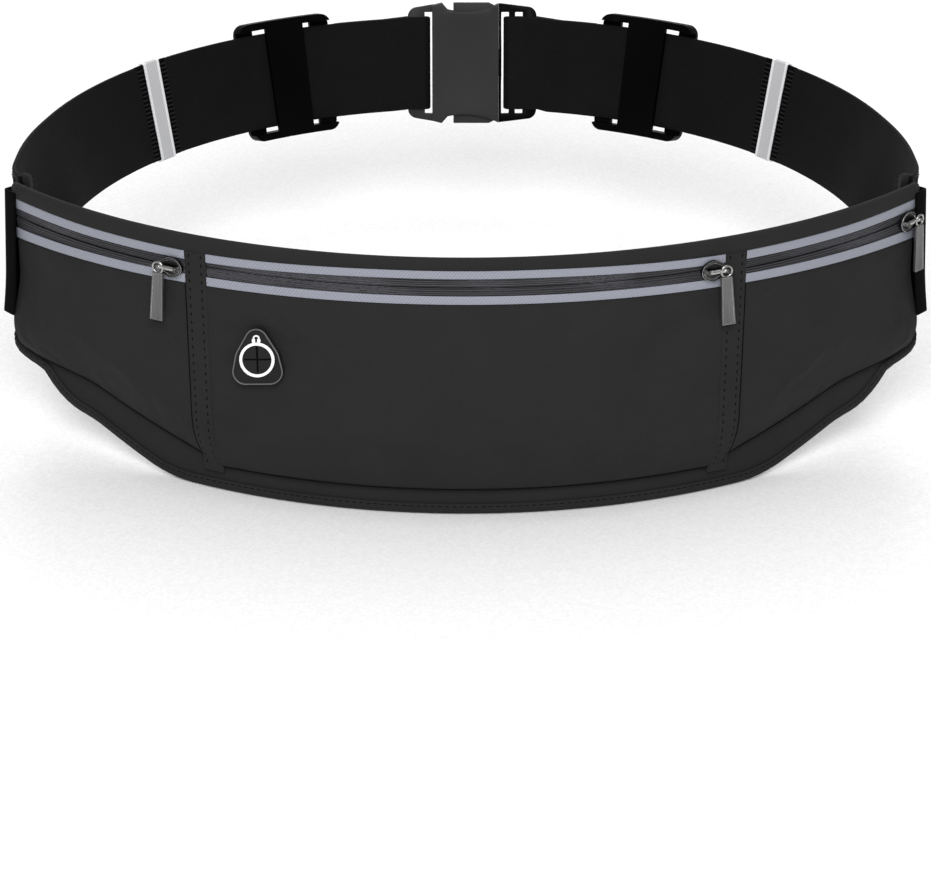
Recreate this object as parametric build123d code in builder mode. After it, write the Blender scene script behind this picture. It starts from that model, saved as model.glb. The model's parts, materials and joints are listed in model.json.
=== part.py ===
"""Running waist pack: a curved three-pocket front on an elastic belt with a side-release buckle.

Frame: millimetres, +Z up, the front of the pack towards -Y, the buckle towards +Y.
The origin is the middle of the waist loop, at half the height of the belt webbing.
"""
from build123d import *
from math import asin, cos, degrees, radians, sin
import os

# ---------------------------------------------------------------- driving dimensions
WEBBING_WIDTH = 40.0        # height of the elastic belt
WEBBING_THICKNESS = 1.6
FRONT_AXIS_Y = 83.0         # vertical axis that the front of the pack is bent about
PANEL_INNER_R = 213.4       # face of the back panel against the wearer
PANEL_THICKNESS = 2.6
POCKET_DEPTH = 7.0          # clear space inside a pocket, from panel to front
FABRIC = 1.2                # pocket fabric and zipper tape
BELT_AXIS_Y = -28.0         # vertical axis of the belt's arc
BELT_R = 163.0              # belt's middle, at half its height
BELT_LEAN = 14.0            # the belt leans outwards at its top
TOP_Z = 22.0                # top edge of the pack
BOTTOM_Z = -81.5            # lowest edge of the pack

# pack layout, in degrees either side of the front's middle
POCKET_SPLIT = 23.9         # centre zipper ends here, and the divider starts
DIVIDER_END = 26.1
ZIP_END = 47.6              # outer end of the side zippers
END_TAPE_END = 48.5

# heights on the front
ZIP_TOP = {"left": 15.4, "centre": 16.6, "right": 15.4}
ZIP_LOW = {"left": 1.4, "centre": 4.0, "right": 1.4}
STRIPE_WIDTH = {"left": 3.6, "centre": 3.1, "right": 3.6}
DIVIDER_TOP_Z = 16.0
ZIP_SEAM_GAP = 1.0          # gap between the two tapes that the slider's neck runs in
CENTRE_SEAM_Z = -71.0       # bottom seam of the centre pocket
SIDE_SEAM_START = (99.5, -65.5)
SIDE_SEAM_END = (165.0, -42.0)
HEM_WIDTH = 4.5
THIN_EDGE_R = 222.4         # the panel's top slopes forward to this radius at its upper edge
SLOPE_LOW_Z = 15.5          # and starts to slope at this height
HIP = (109.5, BOTTOM_Z)     # the bottom edge turns up here, over a large radius
HIP_R = 40.0
SIDE_LOW = (166.0, -56.0)
END_LOW = (190.0, -45.0)
FLAP_LOW = (-44.0, -56.0, -101.0)        # lower edge of the end flap, seen from the side, at the
FLAP_LOW_Y = (-34.0, -68.0, -82.0)      # distances back that these give
FLAP_CORNER_R = 15.0

# belt layout, in degrees either side of the buckle
ADJUSTER_ANGLE = 28.0
ADJUSTER_LENGTH = 42.0
BAND_ANGLE = 51.5
BAND_LENGTH = 9.4
BELT_ARC_END = 76.0         # past this the belt runs forward to the pack

# buckle, in its own plane, x along the belt
BUCKLE_X = 3.0
SOCKET_LEFT = -28.1
SOCKET_MOUTH = 11.4
PLUG_RIGHT = 27.9
BUCKLE_HALF_HEIGHT = 26.0
BUCKLE_THICKNESS = 10.0
RAIL_THICKNESS = 3.6

CLEARANCE = 0.3

# ---------------------------------------------------------------- worked-out dimensions
PANEL_OUTER_R = PANEL_INNER_R + PANEL_THICKNESS
POCKET_INNER_R = PANEL_OUTER_R + POCKET_DEPTH
FRONT_R = POCKET_INNER_R + FABRIC
HALF_WEB = WEBBING_WIDTH / 2
HALF_THICK = WEBBING_THICKNESS / 2
ZIP_Z = {name: (ZIP_TOP[name] + ZIP_LOW[name]) / 2 for name in ZIP_TOP}
CORNER_R = 22.0             # the panel turns this tightly round the wearer's side
FLAP_END_Y = -34.0          # the panel's end flaps reach this far back
SIDE_STRAP_Y = -33.0        # from here the belt is free of the panel
FRONT_CENTRE = (0, FRONT_AXIS_Y)
THROUGH = 200.0             # more than the pack's half length, for cuts that go right through
STRAP_TO_BAR = RAIL_THICKNESS / 2 + CLEARANCE + HALF_THICK
BELT_END_X = 29.0           # half the buckle's length and a little more
BUCKLE_Y = BELT_AXIS_Y + (BELT_R**2 - BELT_END_X**2) ** 0.5 + STRAP_TO_BAR * cos(radians(BELT_LEAN))

BELT_AXIS = Axis((0, BELT_AXIS_Y, 0), (0, 0, 1))
FRONT_AXIS = Axis((0, FRONT_AXIS_Y, 0), (0, 0, 1))
BUCKLE_PLANE = Plane(
    origin=(BUCKLE_X, BUCKLE_Y, 0),
    x_dir=(1, 0, 0),
    z_dir=(0, -cos(radians(BELT_LEAN)), sin(radians(BELT_LEAN))),
)
STRAP_SECTION = (-HALF_THICK, HALF_THICK, -HALF_WEB, HALF_WEB)
SIDES = {"left": -1, "right": 1}

os.makedirs("parts", exist_ok=True)


def save(part, name):
    """Label a finished piece and write it as its own STEP file."""
    part.label = name
    export_step(part, f"parts/{name}.step")


def sector(centre, r_in, r_out, start, end):
    """Face between two arcs, in the open sketch. Angles are from +X, anticlockwise."""
    with BuildLine() as outline:
        inner = CenterArc(centre, r_in, start, end - start)
        outer = CenterArc(centre, r_out, start, end - start)
        Line(inner @ 0, outer @ 0)
        Line(inner @ 1, outer @ 1)
    make_face(outline.line.edges())


def front_sector(r_in, r_out, start, end, low, high, mode=Mode.ADD):
    """Curved slab on the front, from angle start to end off the middle, between two heights."""
    with BuildSketch(Plane.XY.offset(low)) as plan:
        sector(FRONT_CENTRE, r_in, r_out, start - 90, end - 90)
    extrude(plan.sketch, amount=high - low, mode=mode)


def front_plane(angle, radius, height):
    """Plane on the front at an angle off the middle: x to the right, y up, z outwards."""
    a = radians(angle)
    return Plane(
        origin=(radius * sin(a), FRONT_AXIS_Y - radius * cos(a), height),
        x_dir=(cos(a), sin(a), 0),
        z_dir=(sin(a), -cos(a), 0),
    )


def front_section(angle):
    """Upright plane through the front's axis: x outwards, y up."""
    a = radians(angle)
    return Plane(
        origin=(0, FRONT_AXIS_Y, 0),
        x_dir=(sin(a), -cos(a), 0),
        z_dir=(-cos(a), -sin(a), 0),
    )


def belt_plane(angle):
    """Upright plane through the belt's axis: x outwards, y up."""
    a = radians(angle)
    return Plane(
        origin=(0, BELT_AXIS_Y, 0),
        x_dir=(sin(a), cos(a), 0),
        z_dir=(cos(a), -sin(a), 0),
    )


def leaning_rectangle(t_in, t_out, low, high):
    """Rectangle in a belt plane that leans with the belt; t is the depth from its middle."""
    lean = radians(BELT_LEAN)
    t = (t_in + t_out) / 2
    w = (low + high) / 2
    with Locations((BELT_R + t * cos(lean) + w * sin(lean), w * cos(lean) - t * sin(lean))):
        Rectangle(t_out - t_in, high - low, rotation=-BELT_LEAN)


def belt_slab(rectangles, start, end, mode=Mode.ADD):
    """Leaning rectangles carried along the belt from angle start to end off the buckle's middle."""
    with BuildSketch(belt_plane(max(start, end))) as section:
        for t_in, t_out, low, high in rectangles:
            leaning_rectangle(t_in, t_out, low, high)
    revolve(section.sketch, axis=BELT_AXIS, revolution_arc=abs(end - start), mode=mode)


def belt_degrees(length):
    """Angle about the belt's axis that a length along the belt takes up."""
    return degrees(length / BELT_R)


# ---------------------------------------------------------------- back panel
def panel_plan(side, r_in, r_out, flap_y):
    """Half of the panel's plan: the front arc, the turn round the side and the end flap."""
    a = radians(END_TAPE_END)
    sector(FRONT_CENTRE, r_in, r_out, -90, -90 + side * END_TAPE_END)
    turn = (
        side * (PANEL_INNER_R - CORNER_R) * sin(a),
        FRONT_AXIS_Y - (PANEL_INNER_R - CORNER_R) * cos(a),
    )
    t_in = r_in - PANEL_INNER_R + CORNER_R
    t_out = r_out - PANEL_INNER_R + CORNER_R
    if side > 0:
        sector(turn, t_in, t_out, -90 + END_TAPE_END, 0)
    else:
        sector(turn, t_in, t_out, 180, 270 - END_TAPE_END)
    flap_length = flap_y - turn[1]
    with Locations((turn[0] + side * (t_in + t_out) / 2, turn[1] + flap_length / 2)):
        Rectangle(t_out - t_in, flap_length)


def pack_elevation(lift=0.0):
    """Outline of the pack seen from the front, its bottom edge raised by lift."""
    right = [(END_LOW[0], TOP_Z)] + [(x, z + lift) for x, z in (END_LOW, SIDE_LOW, HIP)]
    left = [(-x, z) for x, z in reversed(right)]
    with BuildLine() as outline:
        Polyline(*right, *left, close=True)
    make_face(outline.line.edges())
    hips = [v for v in vertices() if abs(v.Y - BOTTOM_Z - lift) < 1]
    fillet(hips, radius=HIP_R)


def end_elevation():
    """Outline of the end flaps seen from the side, with both corners well rounded."""
    low = list(zip(FLAP_LOW_Y, FLAP_LOW))
    with BuildLine() as outline:
        Polyline((-THROUGH, TOP_Z), (FLAP_END_Y, TOP_Z), *low, (-THROUGH, FLAP_LOW[-1]), close=True)
    make_face(outline.line.edges())
    corners = [v for v in vertices() if v.X > FLAP_END_Y - 1]
    fillet(corners, radius=FLAP_CORNER_R)


def bevel_inner_edge():
    """Slope the pack's top towards the waist, so that it is thin at its upper edge."""
    outer, inner = THIN_EDGE_R, PANEL_INNER_R
    with BuildSketch(front_section(-ZIP_END)) as wedge:
        with BuildLine() as outline:
            Polyline((inner, SLOPE_LOW_Z), (outer, TOP_Z), (outer, TOP_Z + 1), (inner - 1, TOP_Z + 1),
                     (inner - 1, SLOPE_LOW_Z), close=True)
        make_face(outline.line.edges())
    revolve(wedge.sketch, axis=FRONT_AXIS, revolution_arc=2 * ZIP_END, mode=Mode.SUBTRACT)


with BuildPart() as back_panel:
    with BuildSketch(Plane.XY.offset(BOTTOM_Z)):
        for side in SIDES.values():
            panel_plan(side, PANEL_INNER_R, PANEL_OUTER_R, FLAP_END_Y)
    extrude(amount=TOP_Z - BOTTOM_Z)
    with BuildSketch(Plane.XZ):
        pack_elevation()
    extrude(amount=THROUGH, both=True, mode=Mode.INTERSECT)
    with BuildSketch(Plane.YZ):
        end_elevation()
    extrude(amount=THROUGH, both=True, mode=Mode.INTERSECT)
    bevel_inner_edge()
save(back_panel.part, "back_panel")

# ---------------------------------------------------------------- top band above the zippers
with BuildPart() as top_binding:
    front_sector(PANEL_OUTER_R, FRONT_R + 0.4, -ZIP_END, ZIP_END, ZIP_TOP["centre"], TOP_Z)
    top_edges = edges().group_by(Axis.Z)[-1].filter_by(GeomType.CIRCLE).sort_by(SortBy.LENGTH)
    fillet(top_edges[-1:], radius=2)
    bevel_inner_edge()
    for side in SIDES.values():
        for near, far, low in (
            (POCKET_SPLIT, DIVIDER_END, DIVIDER_TOP_Z),
            (DIVIDER_END, ZIP_END, ZIP_TOP["left"]),
        ):
            start, end = sorted((side * near, side * far))
            front_sector(PANEL_OUTER_R, FRONT_R + 0.4, start, end, low, ZIP_TOP["centre"])
save(top_binding.part, "top_binding")

# ---------------------------------------------------------------- hem along the bottom edge
with BuildPart() as hem_binding:
    front_sector(PANEL_OUTER_R, PANEL_OUTER_R + FABRIC, -ZIP_END, ZIP_END, BOTTOM_Z, TOP_Z)
    with BuildSketch(Plane.XZ):
        pack_elevation()
    extrude(amount=THROUGH, mode=Mode.INTERSECT)
    with BuildSketch(Plane.XZ):
        pack_elevation(lift=HEM_WIDTH)
    extrude(amount=THROUGH, mode=Mode.SUBTRACT)
save(hem_binding.part, "hem_binding")


# ---------------------------------------------------------------- pocket fronts
def side_pocket_outline(side, lift):
    """Front elevation of a side pocket, its bottom seam raised by lift."""
    rise = (SIDE_SEAM_END[1] - SIDE_SEAM_START[1]) / (SIDE_SEAM_END[0] - SIDE_SEAM_START[0])
    near, far = HIP[0] - HIP_R / 2, END_LOW[0]
    near_z = SIDE_SEAM_START[1] + rise * (near - SIDE_SEAM_START[0]) + lift
    far_z = SIDE_SEAM_START[1] + rise * (far - SIDE_SEAM_START[0]) + lift
    with BuildLine() as outline:
        Polyline((side * near, TOP_Z), (side * far, TOP_Z), (side * far, far_z), (side * near, near_z),
                 close=True)
    make_face(outline.line.edges())


PORT_ANGLE = -19.0
PORT_Z = -21.3
PORT_HOLE_R = 5.0
WALL_ANGLE = 0.35           # thickness of a pocket's side wall, in degrees
with BuildPart() as centre_pocket:
    front_sector(PANEL_OUTER_R, FRONT_R, -POCKET_SPLIT, POCKET_SPLIT, CENTRE_SEAM_Z, ZIP_LOW["centre"])
    front_sector(PANEL_OUTER_R - 1, POCKET_INNER_R, WALL_ANGLE - POCKET_SPLIT, POCKET_SPLIT - WALL_ANGLE,
                 CENTRE_SEAM_Z + FABRIC, ZIP_LOW["centre"] + 1, mode=Mode.SUBTRACT)
    with BuildSketch(front_plane(PORT_ANGLE, FRONT_R + 1, PORT_Z)):
        Circle(PORT_HOLE_R)
    extrude(amount=-POCKET_DEPTH / 2, mode=Mode.SUBTRACT)
    bottom_edges = edges().filter_by(GeomType.CIRCLE).group_by(Axis.Z)[0].sort_by(SortBy.LENGTH)
    fillet(bottom_edges[-1:], radius=1)
save(centre_pocket.part, "centre_pocket")

for name, side in SIDES.items():
    inner, outer = sorted((side * DIVIDER_END, side * ZIP_END))
    with BuildPart() as side_pocket:
        front_sector(PANEL_OUTER_R, FRONT_R, inner, outer, BOTTOM_Z, ZIP_LOW[name])
        with BuildSketch(Plane.XZ):
            side_pocket_outline(side, 0)
        extrude(amount=THROUGH, mode=Mode.INTERSECT)
        with BuildPart(mode=Mode.PRIVATE) as hollow:
            front_sector(PANEL_OUTER_R - 1, POCKET_INNER_R, inner + WALL_ANGLE, outer - WALL_ANGLE,
                         BOTTOM_Z, ZIP_LOW[name] + 1)
            with BuildSketch(Plane.XZ):
                side_pocket_outline(side, FABRIC * 1.1)
            extrude(amount=THROUGH, mode=Mode.INTERSECT)
        add(hollow.part, mode=Mode.SUBTRACT)
    save(side_pocket.part, f"{name}_pocket")

# ---------------------------------------------------------------- dividers and end tapes
END_TAPE_LOW_Z = -29.0
END_TAPE_TOP_Z = 18.0
for name, side in SIDES.items():
    inner, outer = sorted((side * POCKET_SPLIT, side * DIVIDER_END))
    with BuildPart() as divider:
        front_sector(PANEL_OUTER_R, FRONT_R + 0.2, inner, outer, CENTRE_SEAM_Z, DIVIDER_TOP_Z)
    save(divider.part, f"{name}_divider")

    inner, outer = sorted((side * ZIP_END, side * END_TAPE_END))
    with BuildPart() as end_tape:
        front_sector(PANEL_OUTER_R, FRONT_R + 0.8, inner, outer, END_TAPE_LOW_Z, END_TAPE_TOP_Z)
    save(end_tape.part, f"{name}_end_tape")

# ---------------------------------------------------------------- zippers
ZIPS = {
    "left": (-ZIP_END, -DIVIDER_END),
    "centre": (-POCKET_SPLIT, POCKET_SPLIT),
    "right": (DIVIDER_END, ZIP_END),
}
COIL_DEPTH = 1.8
COIL_HEIGHT = 2.0
STOP_WIDTH = 0.5            # in degrees
for name, (start, end) in ZIPS.items():
    low, high = ZIP_LOW[name], ZIP_TOP[name]
    seam_low = ZIP_Z[name] - ZIP_SEAM_GAP / 2
    seam_high = ZIP_Z[name] + ZIP_SEAM_GAP / 2
    with BuildPart() as upper_tape:
        front_sector(POCKET_INNER_R, FRONT_R - 0.2, start, end, seam_high, high)
    save(upper_tape.part, f"{name}_zip_upper_tape")

    with BuildPart() as lower_tape:
        front_sector(POCKET_INNER_R, FRONT_R - 0.2, start, end, low, seam_low)
    save(lower_tape.part, f"{name}_zip_lower_tape")

    with BuildPart() as coils:
        front_sector(POCKET_INNER_R - COIL_DEPTH, POCKET_INNER_R, start + STOP_WIDTH, end - STOP_WIDTH,
                     seam_high, seam_high + COIL_HEIGHT)
        front_sector(POCKET_INNER_R - COIL_DEPTH, POCKET_INNER_R, start + STOP_WIDTH, end - STOP_WIDTH,
                     seam_low - COIL_HEIGHT, seam_low)
    save(coils.part, f"{name}_zip_coils")

    with BuildPart() as stripes:
        width = STRIPE_WIDTH[name]
        for edge in (low, high - width):
            front_sector(FRONT_R - 0.2, FRONT_R + 0.2, start, end, edge, edge + width)
    save(stripes.part, f"{name}_reflective_stripes")

with BuildPart() as zip_stops:
    for name, (start, end) in ZIPS.items():
        reach = ZIP_SEAM_GAP / 2 + COIL_HEIGHT
        for a, b in ((start, start + STOP_WIDTH), (end - STOP_WIDTH, end)):
            front_sector(POCKET_INNER_R - COIL_DEPTH, POCKET_INNER_R, a, b,
                         ZIP_Z[name] - reach, ZIP_Z[name] + reach)
save(zip_stops.part, "zip_stops")

# Each slider parks at the right end of its zipper; its pull hangs on one side of it.
PARKED = 1.3                # degrees from the end of the zipper to the slider's middle
PARKED_AT_TAPE = 1.6        # the end tape stands proud of the front, so that slider stays clear of it
SLIDERS = {
    "left": (-DIVIDER_END - PARKED, -1),
    "centre": (POCKET_SPLIT - PARKED, 1),
    "right": (ZIP_END - PARKED_AT_TAPE, 1),
}
PLATE_LENGTH = 10.4
PLATE_HEIGHT = 8.0
PLATE_OFFSET = 0.4          # the top plate reaches further on the pull's side
PLATE_LOW = 0.5
PLATE_TOP = 1.9
INNER_PLATE_LOW = -5.0
INNER_PLATE_THICKNESS = 1.4
NECK_LENGTH = 4.0
POSTS = (-3.15, 4.35)       # the two feet of the bridge bar
POST_LENGTH = 0.9
POST_HEIGHT = 1.5
BAR_R = 0.75
BAR_Z = 5.0                 # height of the bridge bar above the front's face
EYE_X = 3.1
EYE_WIDTH = 1.4
EYE_R = 2.2
EYE_CLEARANCE = 0.4
TAB_X = 3.8
TAB_WIDTH = 5.2
TAB_THICKNESS = 1.2
TAB_Z = BAR_Z - 1.4
PULL_BOTTOM = -23.5
for name, (angle, hand) in SLIDERS.items():
    face = front_plane(angle, FRONT_R, ZIP_Z[name])
    with BuildPart() as slider:
        with BuildSketch(face.offset(PLATE_LOW)):
            with Locations((PLATE_OFFSET * hand, 0)):
                Rectangle(PLATE_LENGTH, PLATE_HEIGHT)
            fillet(vertices(), radius=3)
        extrude(amount=PLATE_TOP - PLATE_LOW)
        fillet(edges().group_by(Axis(face.origin, face.z_dir))[-1], radius=0.9)
        with BuildSketch(face.offset(INNER_PLATE_LOW)):
            RectangleRounded(PLATE_LENGTH - 1.4, PLATE_HEIGHT - 1, 2.5)
        extrude(amount=INNER_PLATE_THICKNESS)
        with BuildSketch(face.offset(INNER_PLATE_LOW + INNER_PLATE_THICKNESS / 2)):
            Rectangle(NECK_LENGTH, ZIP_SEAM_GAP - 0.5)
        extrude(amount=PLATE_LOW - INNER_PLATE_LOW)
        for x in POSTS:
            with BuildSketch(face.offset(PLATE_TOP - CLEARANCE)):
                with Locations((x * hand, 0)):
                    Rectangle(POST_LENGTH, POST_HEIGHT)
            extrude(amount=BAR_Z - PLATE_TOP + CLEARANCE)
        bar_start = POSTS[0] - POST_LENGTH / 2
        bar_plane = Plane(origin=face.from_local_coords((bar_start * hand, 0, BAR_Z)),
                          z_dir=face.x_dir * hand, x_dir=face.z_dir)
        with BuildSketch(bar_plane):
            Circle(BAR_R)
        extrude(amount=POSTS[1] + POST_LENGTH / 2 - bar_start)
    save(slider.part, f"{name}_slider")

    with BuildPart() as pull:
        eye_plane = Plane(origin=face.from_local_coords((EYE_X * hand, 0, BAR_Z)),
                          z_dir=face.x_dir, x_dir=face.z_dir)
        with BuildSketch(eye_plane.offset(-EYE_WIDTH / 2)):
            Circle(EYE_R)
        extrude(amount=EYE_WIDTH)
        tab_top = -BAR_R - EYE_CLEARANCE - 0.2
        with BuildSketch(face.offset(TAB_Z - TAB_THICKNESS / 2)):
            with Locations((TAB_X * hand, (PULL_BOTTOM + tab_top) / 2)):
                Rectangle(TAB_WIDTH, tab_top - PULL_BOTTOM)
            fillet(vertices(), radius=0.5)
        extrude(amount=TAB_THICKNESS)
        with BuildSketch(eye_plane.offset(-EYE_WIDTH)):
            Circle(BAR_R + EYE_CLEARANCE)
        extrude(amount=2 * EYE_WIDTH, mode=Mode.SUBTRACT)
    save(pull.part, f"{name}_pull")

# ---------------------------------------------------------------- headphone port
port_face = front_plane(PORT_ANGLE, FRONT_R, PORT_Z)
PORT_THICKNESS = 1.4
with BuildPart() as port_patch:
    with BuildSketch(port_face) as patch_sketch:
        with Locations((-4.6, -4.9), (4.6, -4.9)):
            Circle(4.85)
        with Locations((0, 6.6)):
            Circle(4.3)
        make_hull()
    extrude(amount=PORT_THICKNESS)
    with BuildSketch(port_face.offset(PORT_THICKNESS)):
        add(patch_sketch.sketch_local)
        offset(amount=-0.8, mode=Mode.SUBTRACT)
    extrude(amount=0.5)
    with BuildSketch(port_face):
        Rectangle(8.6, 0.6)
        Rectangle(0.6, 8.6)
    extrude(amount=PORT_THICKNESS, mode=Mode.SUBTRACT)
save(port_patch.part, "port_patch")

with BuildPart() as port_ring:
    with BuildSketch(port_face.offset(PORT_THICKNESS)):
        Circle(6.1)
        Circle(4.9, mode=Mode.SUBTRACT)
    extrude(amount=0.4)
save(port_ring.part, "port_ring")

# ---------------------------------------------------------------- belt webbing
SLOT_WIDTH = 3.3
SOCKET_BAR_END = SOCKET_LEFT + 7.3
PLUG_WALL = SOCKET_MOUTH + 0.4
PLUG_SLOT = PLUG_WALL + 0.8
PLUG_BAR = PLUG_SLOT + SLOT_WIDTH
LOOPS = {
    "left": (SOCKET_BAR_END + 0.3, SOCKET_LEFT - 0.5),
    "right": (PLUG_BAR - 0.3, PLUG_RIGHT + 0.5),
}
strap_out = STRAP_TO_BAR + HALF_THICK
strap_in = STRAP_TO_BAR - HALF_THICK
RETURN_END = ADJUSTER_ANGLE - 8.4
for name, side in SIDES.items():
    with BuildPart() as strap_end:
        with BuildSketch(Plane.XY.offset(-HALF_WEB)):
            panel_plan(side, PANEL_OUTER_R, PANEL_OUTER_R + WEBBING_THICKNESS, SIDE_STRAP_Y)
        extrude(amount=WEBBING_WIDTH)
        with BuildSketch(Plane.XY.offset(-HALF_WEB - 1)):
            sector(FRONT_CENTRE, 100, 240, -90 - END_TAPE_END, -90 + END_TAPE_END)
        extrude(amount=WEBBING_WIDTH + 2, mode=Mode.SUBTRACT)
    save(strap_end.part, f"{name}_strap_end")
    strap_x = strap_end.part.bounding_box().max.X if side > 0 else strap_end.part.bounding_box().min.X

    with BuildPart() as strap_side:
        with BuildSketch(Plane(origin=(strap_x, SIDE_STRAP_Y, 0), x_dir=(side, 0, 0), z_dir=(0, -side, 0))):
            with Locations((-HALF_THICK, 0)):
                Rectangle(WEBBING_THICKNESS, WEBBING_WIDTH)
        with BuildSketch(belt_plane(side * BELT_ARC_END)):
            leaning_rectangle(-HALF_THICK, HALF_THICK, -HALF_WEB, HALF_WEB)
        loft()
    save(strap_side.part, f"{name}_strap_side")

    bend_x, leg_x = LOOPS[name]
    leg_end = BUCKLE_X + leg_x
    first = side * degrees(asin((abs(leg_end) + CLEARANCE) / (BELT_R - HALF_WEB * sin(radians(BELT_LEAN)) - 1)))
    with BuildPart() as strap_rear:
        belt_slab([STRAP_SECTION], first, side * BELT_ARC_END)
    save(strap_rear.part, f"{name}_strap_rear")

    with BuildPart() as strap_loop:
        section = Plane(origin=BUCKLE_PLANE.from_local_coords((0, -HALF_WEB, 0)),
                        x_dir=(1, 0, 0), z_dir=BUCKLE_PLANE.y_dir)
        bend_out = bend_x - side * WEBBING_THICKNESS
        with BuildSketch(section):
            with Locations(((leg_x + bend_out) / 2, 0)):
                Rectangle(abs(leg_x - bend_out), 2 * strap_out)
            fillet(vertices().filter_by(lambda v: abs(v.X - bend_out) < 0.1), radius=1.5)
            with Locations(((leg_x + bend_x) / 2, 0)):
                Rectangle(abs(leg_x - bend_x), 2 * strap_in, mode=Mode.SUBTRACT)
        extrude(amount=WEBBING_WIDTH)
    save(strap_loop.part, f"{name}_strap_loop")

    with BuildPart() as strap_return:
        leg_back = BUCKLE_PLANE.from_local_coords((leg_x, 0, -STRAP_TO_BAR))
        with BuildSketch(Plane(origin=leg_back, x_dir=-BUCKLE_PLANE.z_dir, z_dir=(1, 0, 0))):
            Rectangle(WEBBING_THICKNESS, WEBBING_WIDTH)
        with BuildSketch(belt_plane(side * RETURN_END)):
            leaning_rectangle(HALF_THICK + 0.3, HALF_THICK + 0.3 + WEBBING_THICKNESS, -HALF_WEB, HALF_WEB)
        loft()
    save(strap_return.part, f"{name}_strap_return")

# ---------------------------------------------------------------- reflective bands
BAND_FABRIC = 0.5
BAND_SECTION = (-HALF_THICK - BAND_FABRIC, HALF_THICK + BAND_FABRIC,
                -HALF_WEB - BAND_FABRIC, HALF_WEB + BAND_FABRIC)
band_half = belt_degrees(BAND_LENGTH / 2)
for name, side in SIDES.items():
    centre = side * BAND_ANGLE
    with BuildPart() as reflective_band:
        belt_slab([BAND_SECTION], centre - band_half, centre + band_half)
        belt_slab([STRAP_SECTION], centre - band_half - 1, centre + band_half + 1, mode=Mode.SUBTRACT)
    save(reflective_band.part, f"{name}_reflective_band")

# ---------------------------------------------------------------- strap adjusters
ADJUSTER_HALF_HEIGHT = 25.0
BAR_THICKNESS = 2.0
CENTRE_BAR = 17.0
OUTER_BAR = 8.0
adjuster_half = belt_degrees(ADJUSTER_LENGTH / 2)
centre_bar_half = belt_degrees(CENTRE_BAR / 2)
outer_bar = belt_degrees(OUTER_BAR)
near = HALF_THICK + CLEARANCE
far = near + BAR_THICKNESS
rail_inner = HALF_WEB + 0.6
for name, side in SIDES.items():
    centre = side * ADJUSTER_ANGLE
    start, end = centre - adjuster_half, centre + adjuster_half
    rails = [(-far, far, -ADJUSTER_HALF_HEIGHT, -rail_inner), (-far, far, rail_inner, ADJUSTER_HALF_HEIGHT)]
    outer_section = rails + [(near, far, -rail_inner, rail_inner)]
    middle_section = rails + [(-far, -near, -rail_inner, rail_inner)]
    middle_start, middle_end = centre - centre_bar_half, centre + centre_bar_half
    with BuildPart() as adjuster:
        belt_slab(outer_section, start, start + outer_bar)
        belt_slab(rails, start + outer_bar, middle_start)
        belt_slab(middle_section, middle_start, middle_end)
        belt_slab(rails, middle_end, end - outer_bar)
        belt_slab(outer_section, end - outer_bar, end)
    save(adjuster.part, f"{name}_adjuster")

# ---------------------------------------------------------------- buckle socket
HALF_BODY = BUCKLE_THICKNESS / 2
PLATE = 1.6
CAVITY_HALF = HALF_BODY - PLATE
MOUTH_HALF = 21.2
WINDOW_LEFT = -11.0
WINDOW_RIGHT = SOCKET_MOUTH - 1.8
with BuildPart() as buckle_socket:
    with BuildSketch(BUCKLE_PLANE.offset(-RAIL_THICKNESS / 2)):
        with BuildLine():
            left_end = Polyline((-12, -BUCKLE_HALF_HEIGHT), (SOCKET_LEFT, -23.2), (SOCKET_LEFT, 23.2),
                                (-12, BUCKLE_HALF_HEIGHT), close=True)
        make_face()
        fillet([v for v in vertices() if v.X < SOCKET_LEFT + 1], radius=3)
        with Locations((SOCKET_BAR_END + SLOT_WIDTH / 2, 0)):
            Rectangle(SLOT_WIDTH, WEBBING_WIDTH + 4, mode=Mode.SUBTRACT)
    extrude(amount=RAIL_THICKNESS)
    with BuildSketch(BUCKLE_PLANE.offset(-HALF_BODY)):
        for s in (1, -1):
            with BuildLine():
                left_edge = SOCKET_BAR_END + SLOT_WIDTH
                low = Polyline((0, 0), (left_edge, 0), (left_edge, s * 24.6), (-13.4, s * BUCKLE_HALF_HEIGHT),
                               (-10.5, s * 22.7), (-3.4, s * 22.1))
                hip = TangentArc(low @ 1, (SOCKET_MOUTH - 0.7, s * 25.4), tangent=(1, 0, 0))
                Polyline(hip @ 1, (SOCKET_MOUTH, s * 25), (SOCKET_MOUTH, 0), (0, 0))
            make_face()
    extrude(amount=BUCKLE_THICKNESS)
    with BuildSketch(BUCKLE_PLANE.offset(-CAVITY_HALF)):
        with Locations(((WINDOW_LEFT + SOCKET_MOUTH + 1) / 2, 0)):
            Rectangle(SOCKET_MOUTH + 1 - WINDOW_LEFT, 2 * MOUTH_HALF)
        with Locations(((WINDOW_LEFT + WINDOW_RIGHT) / 2, 0)):
            Rectangle(WINDOW_RIGHT - WINDOW_LEFT, 60)
    extrude(amount=2 * CAVITY_HALF, mode=Mode.SUBTRACT)
save(buckle_socket.part, "buckle_socket")

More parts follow.
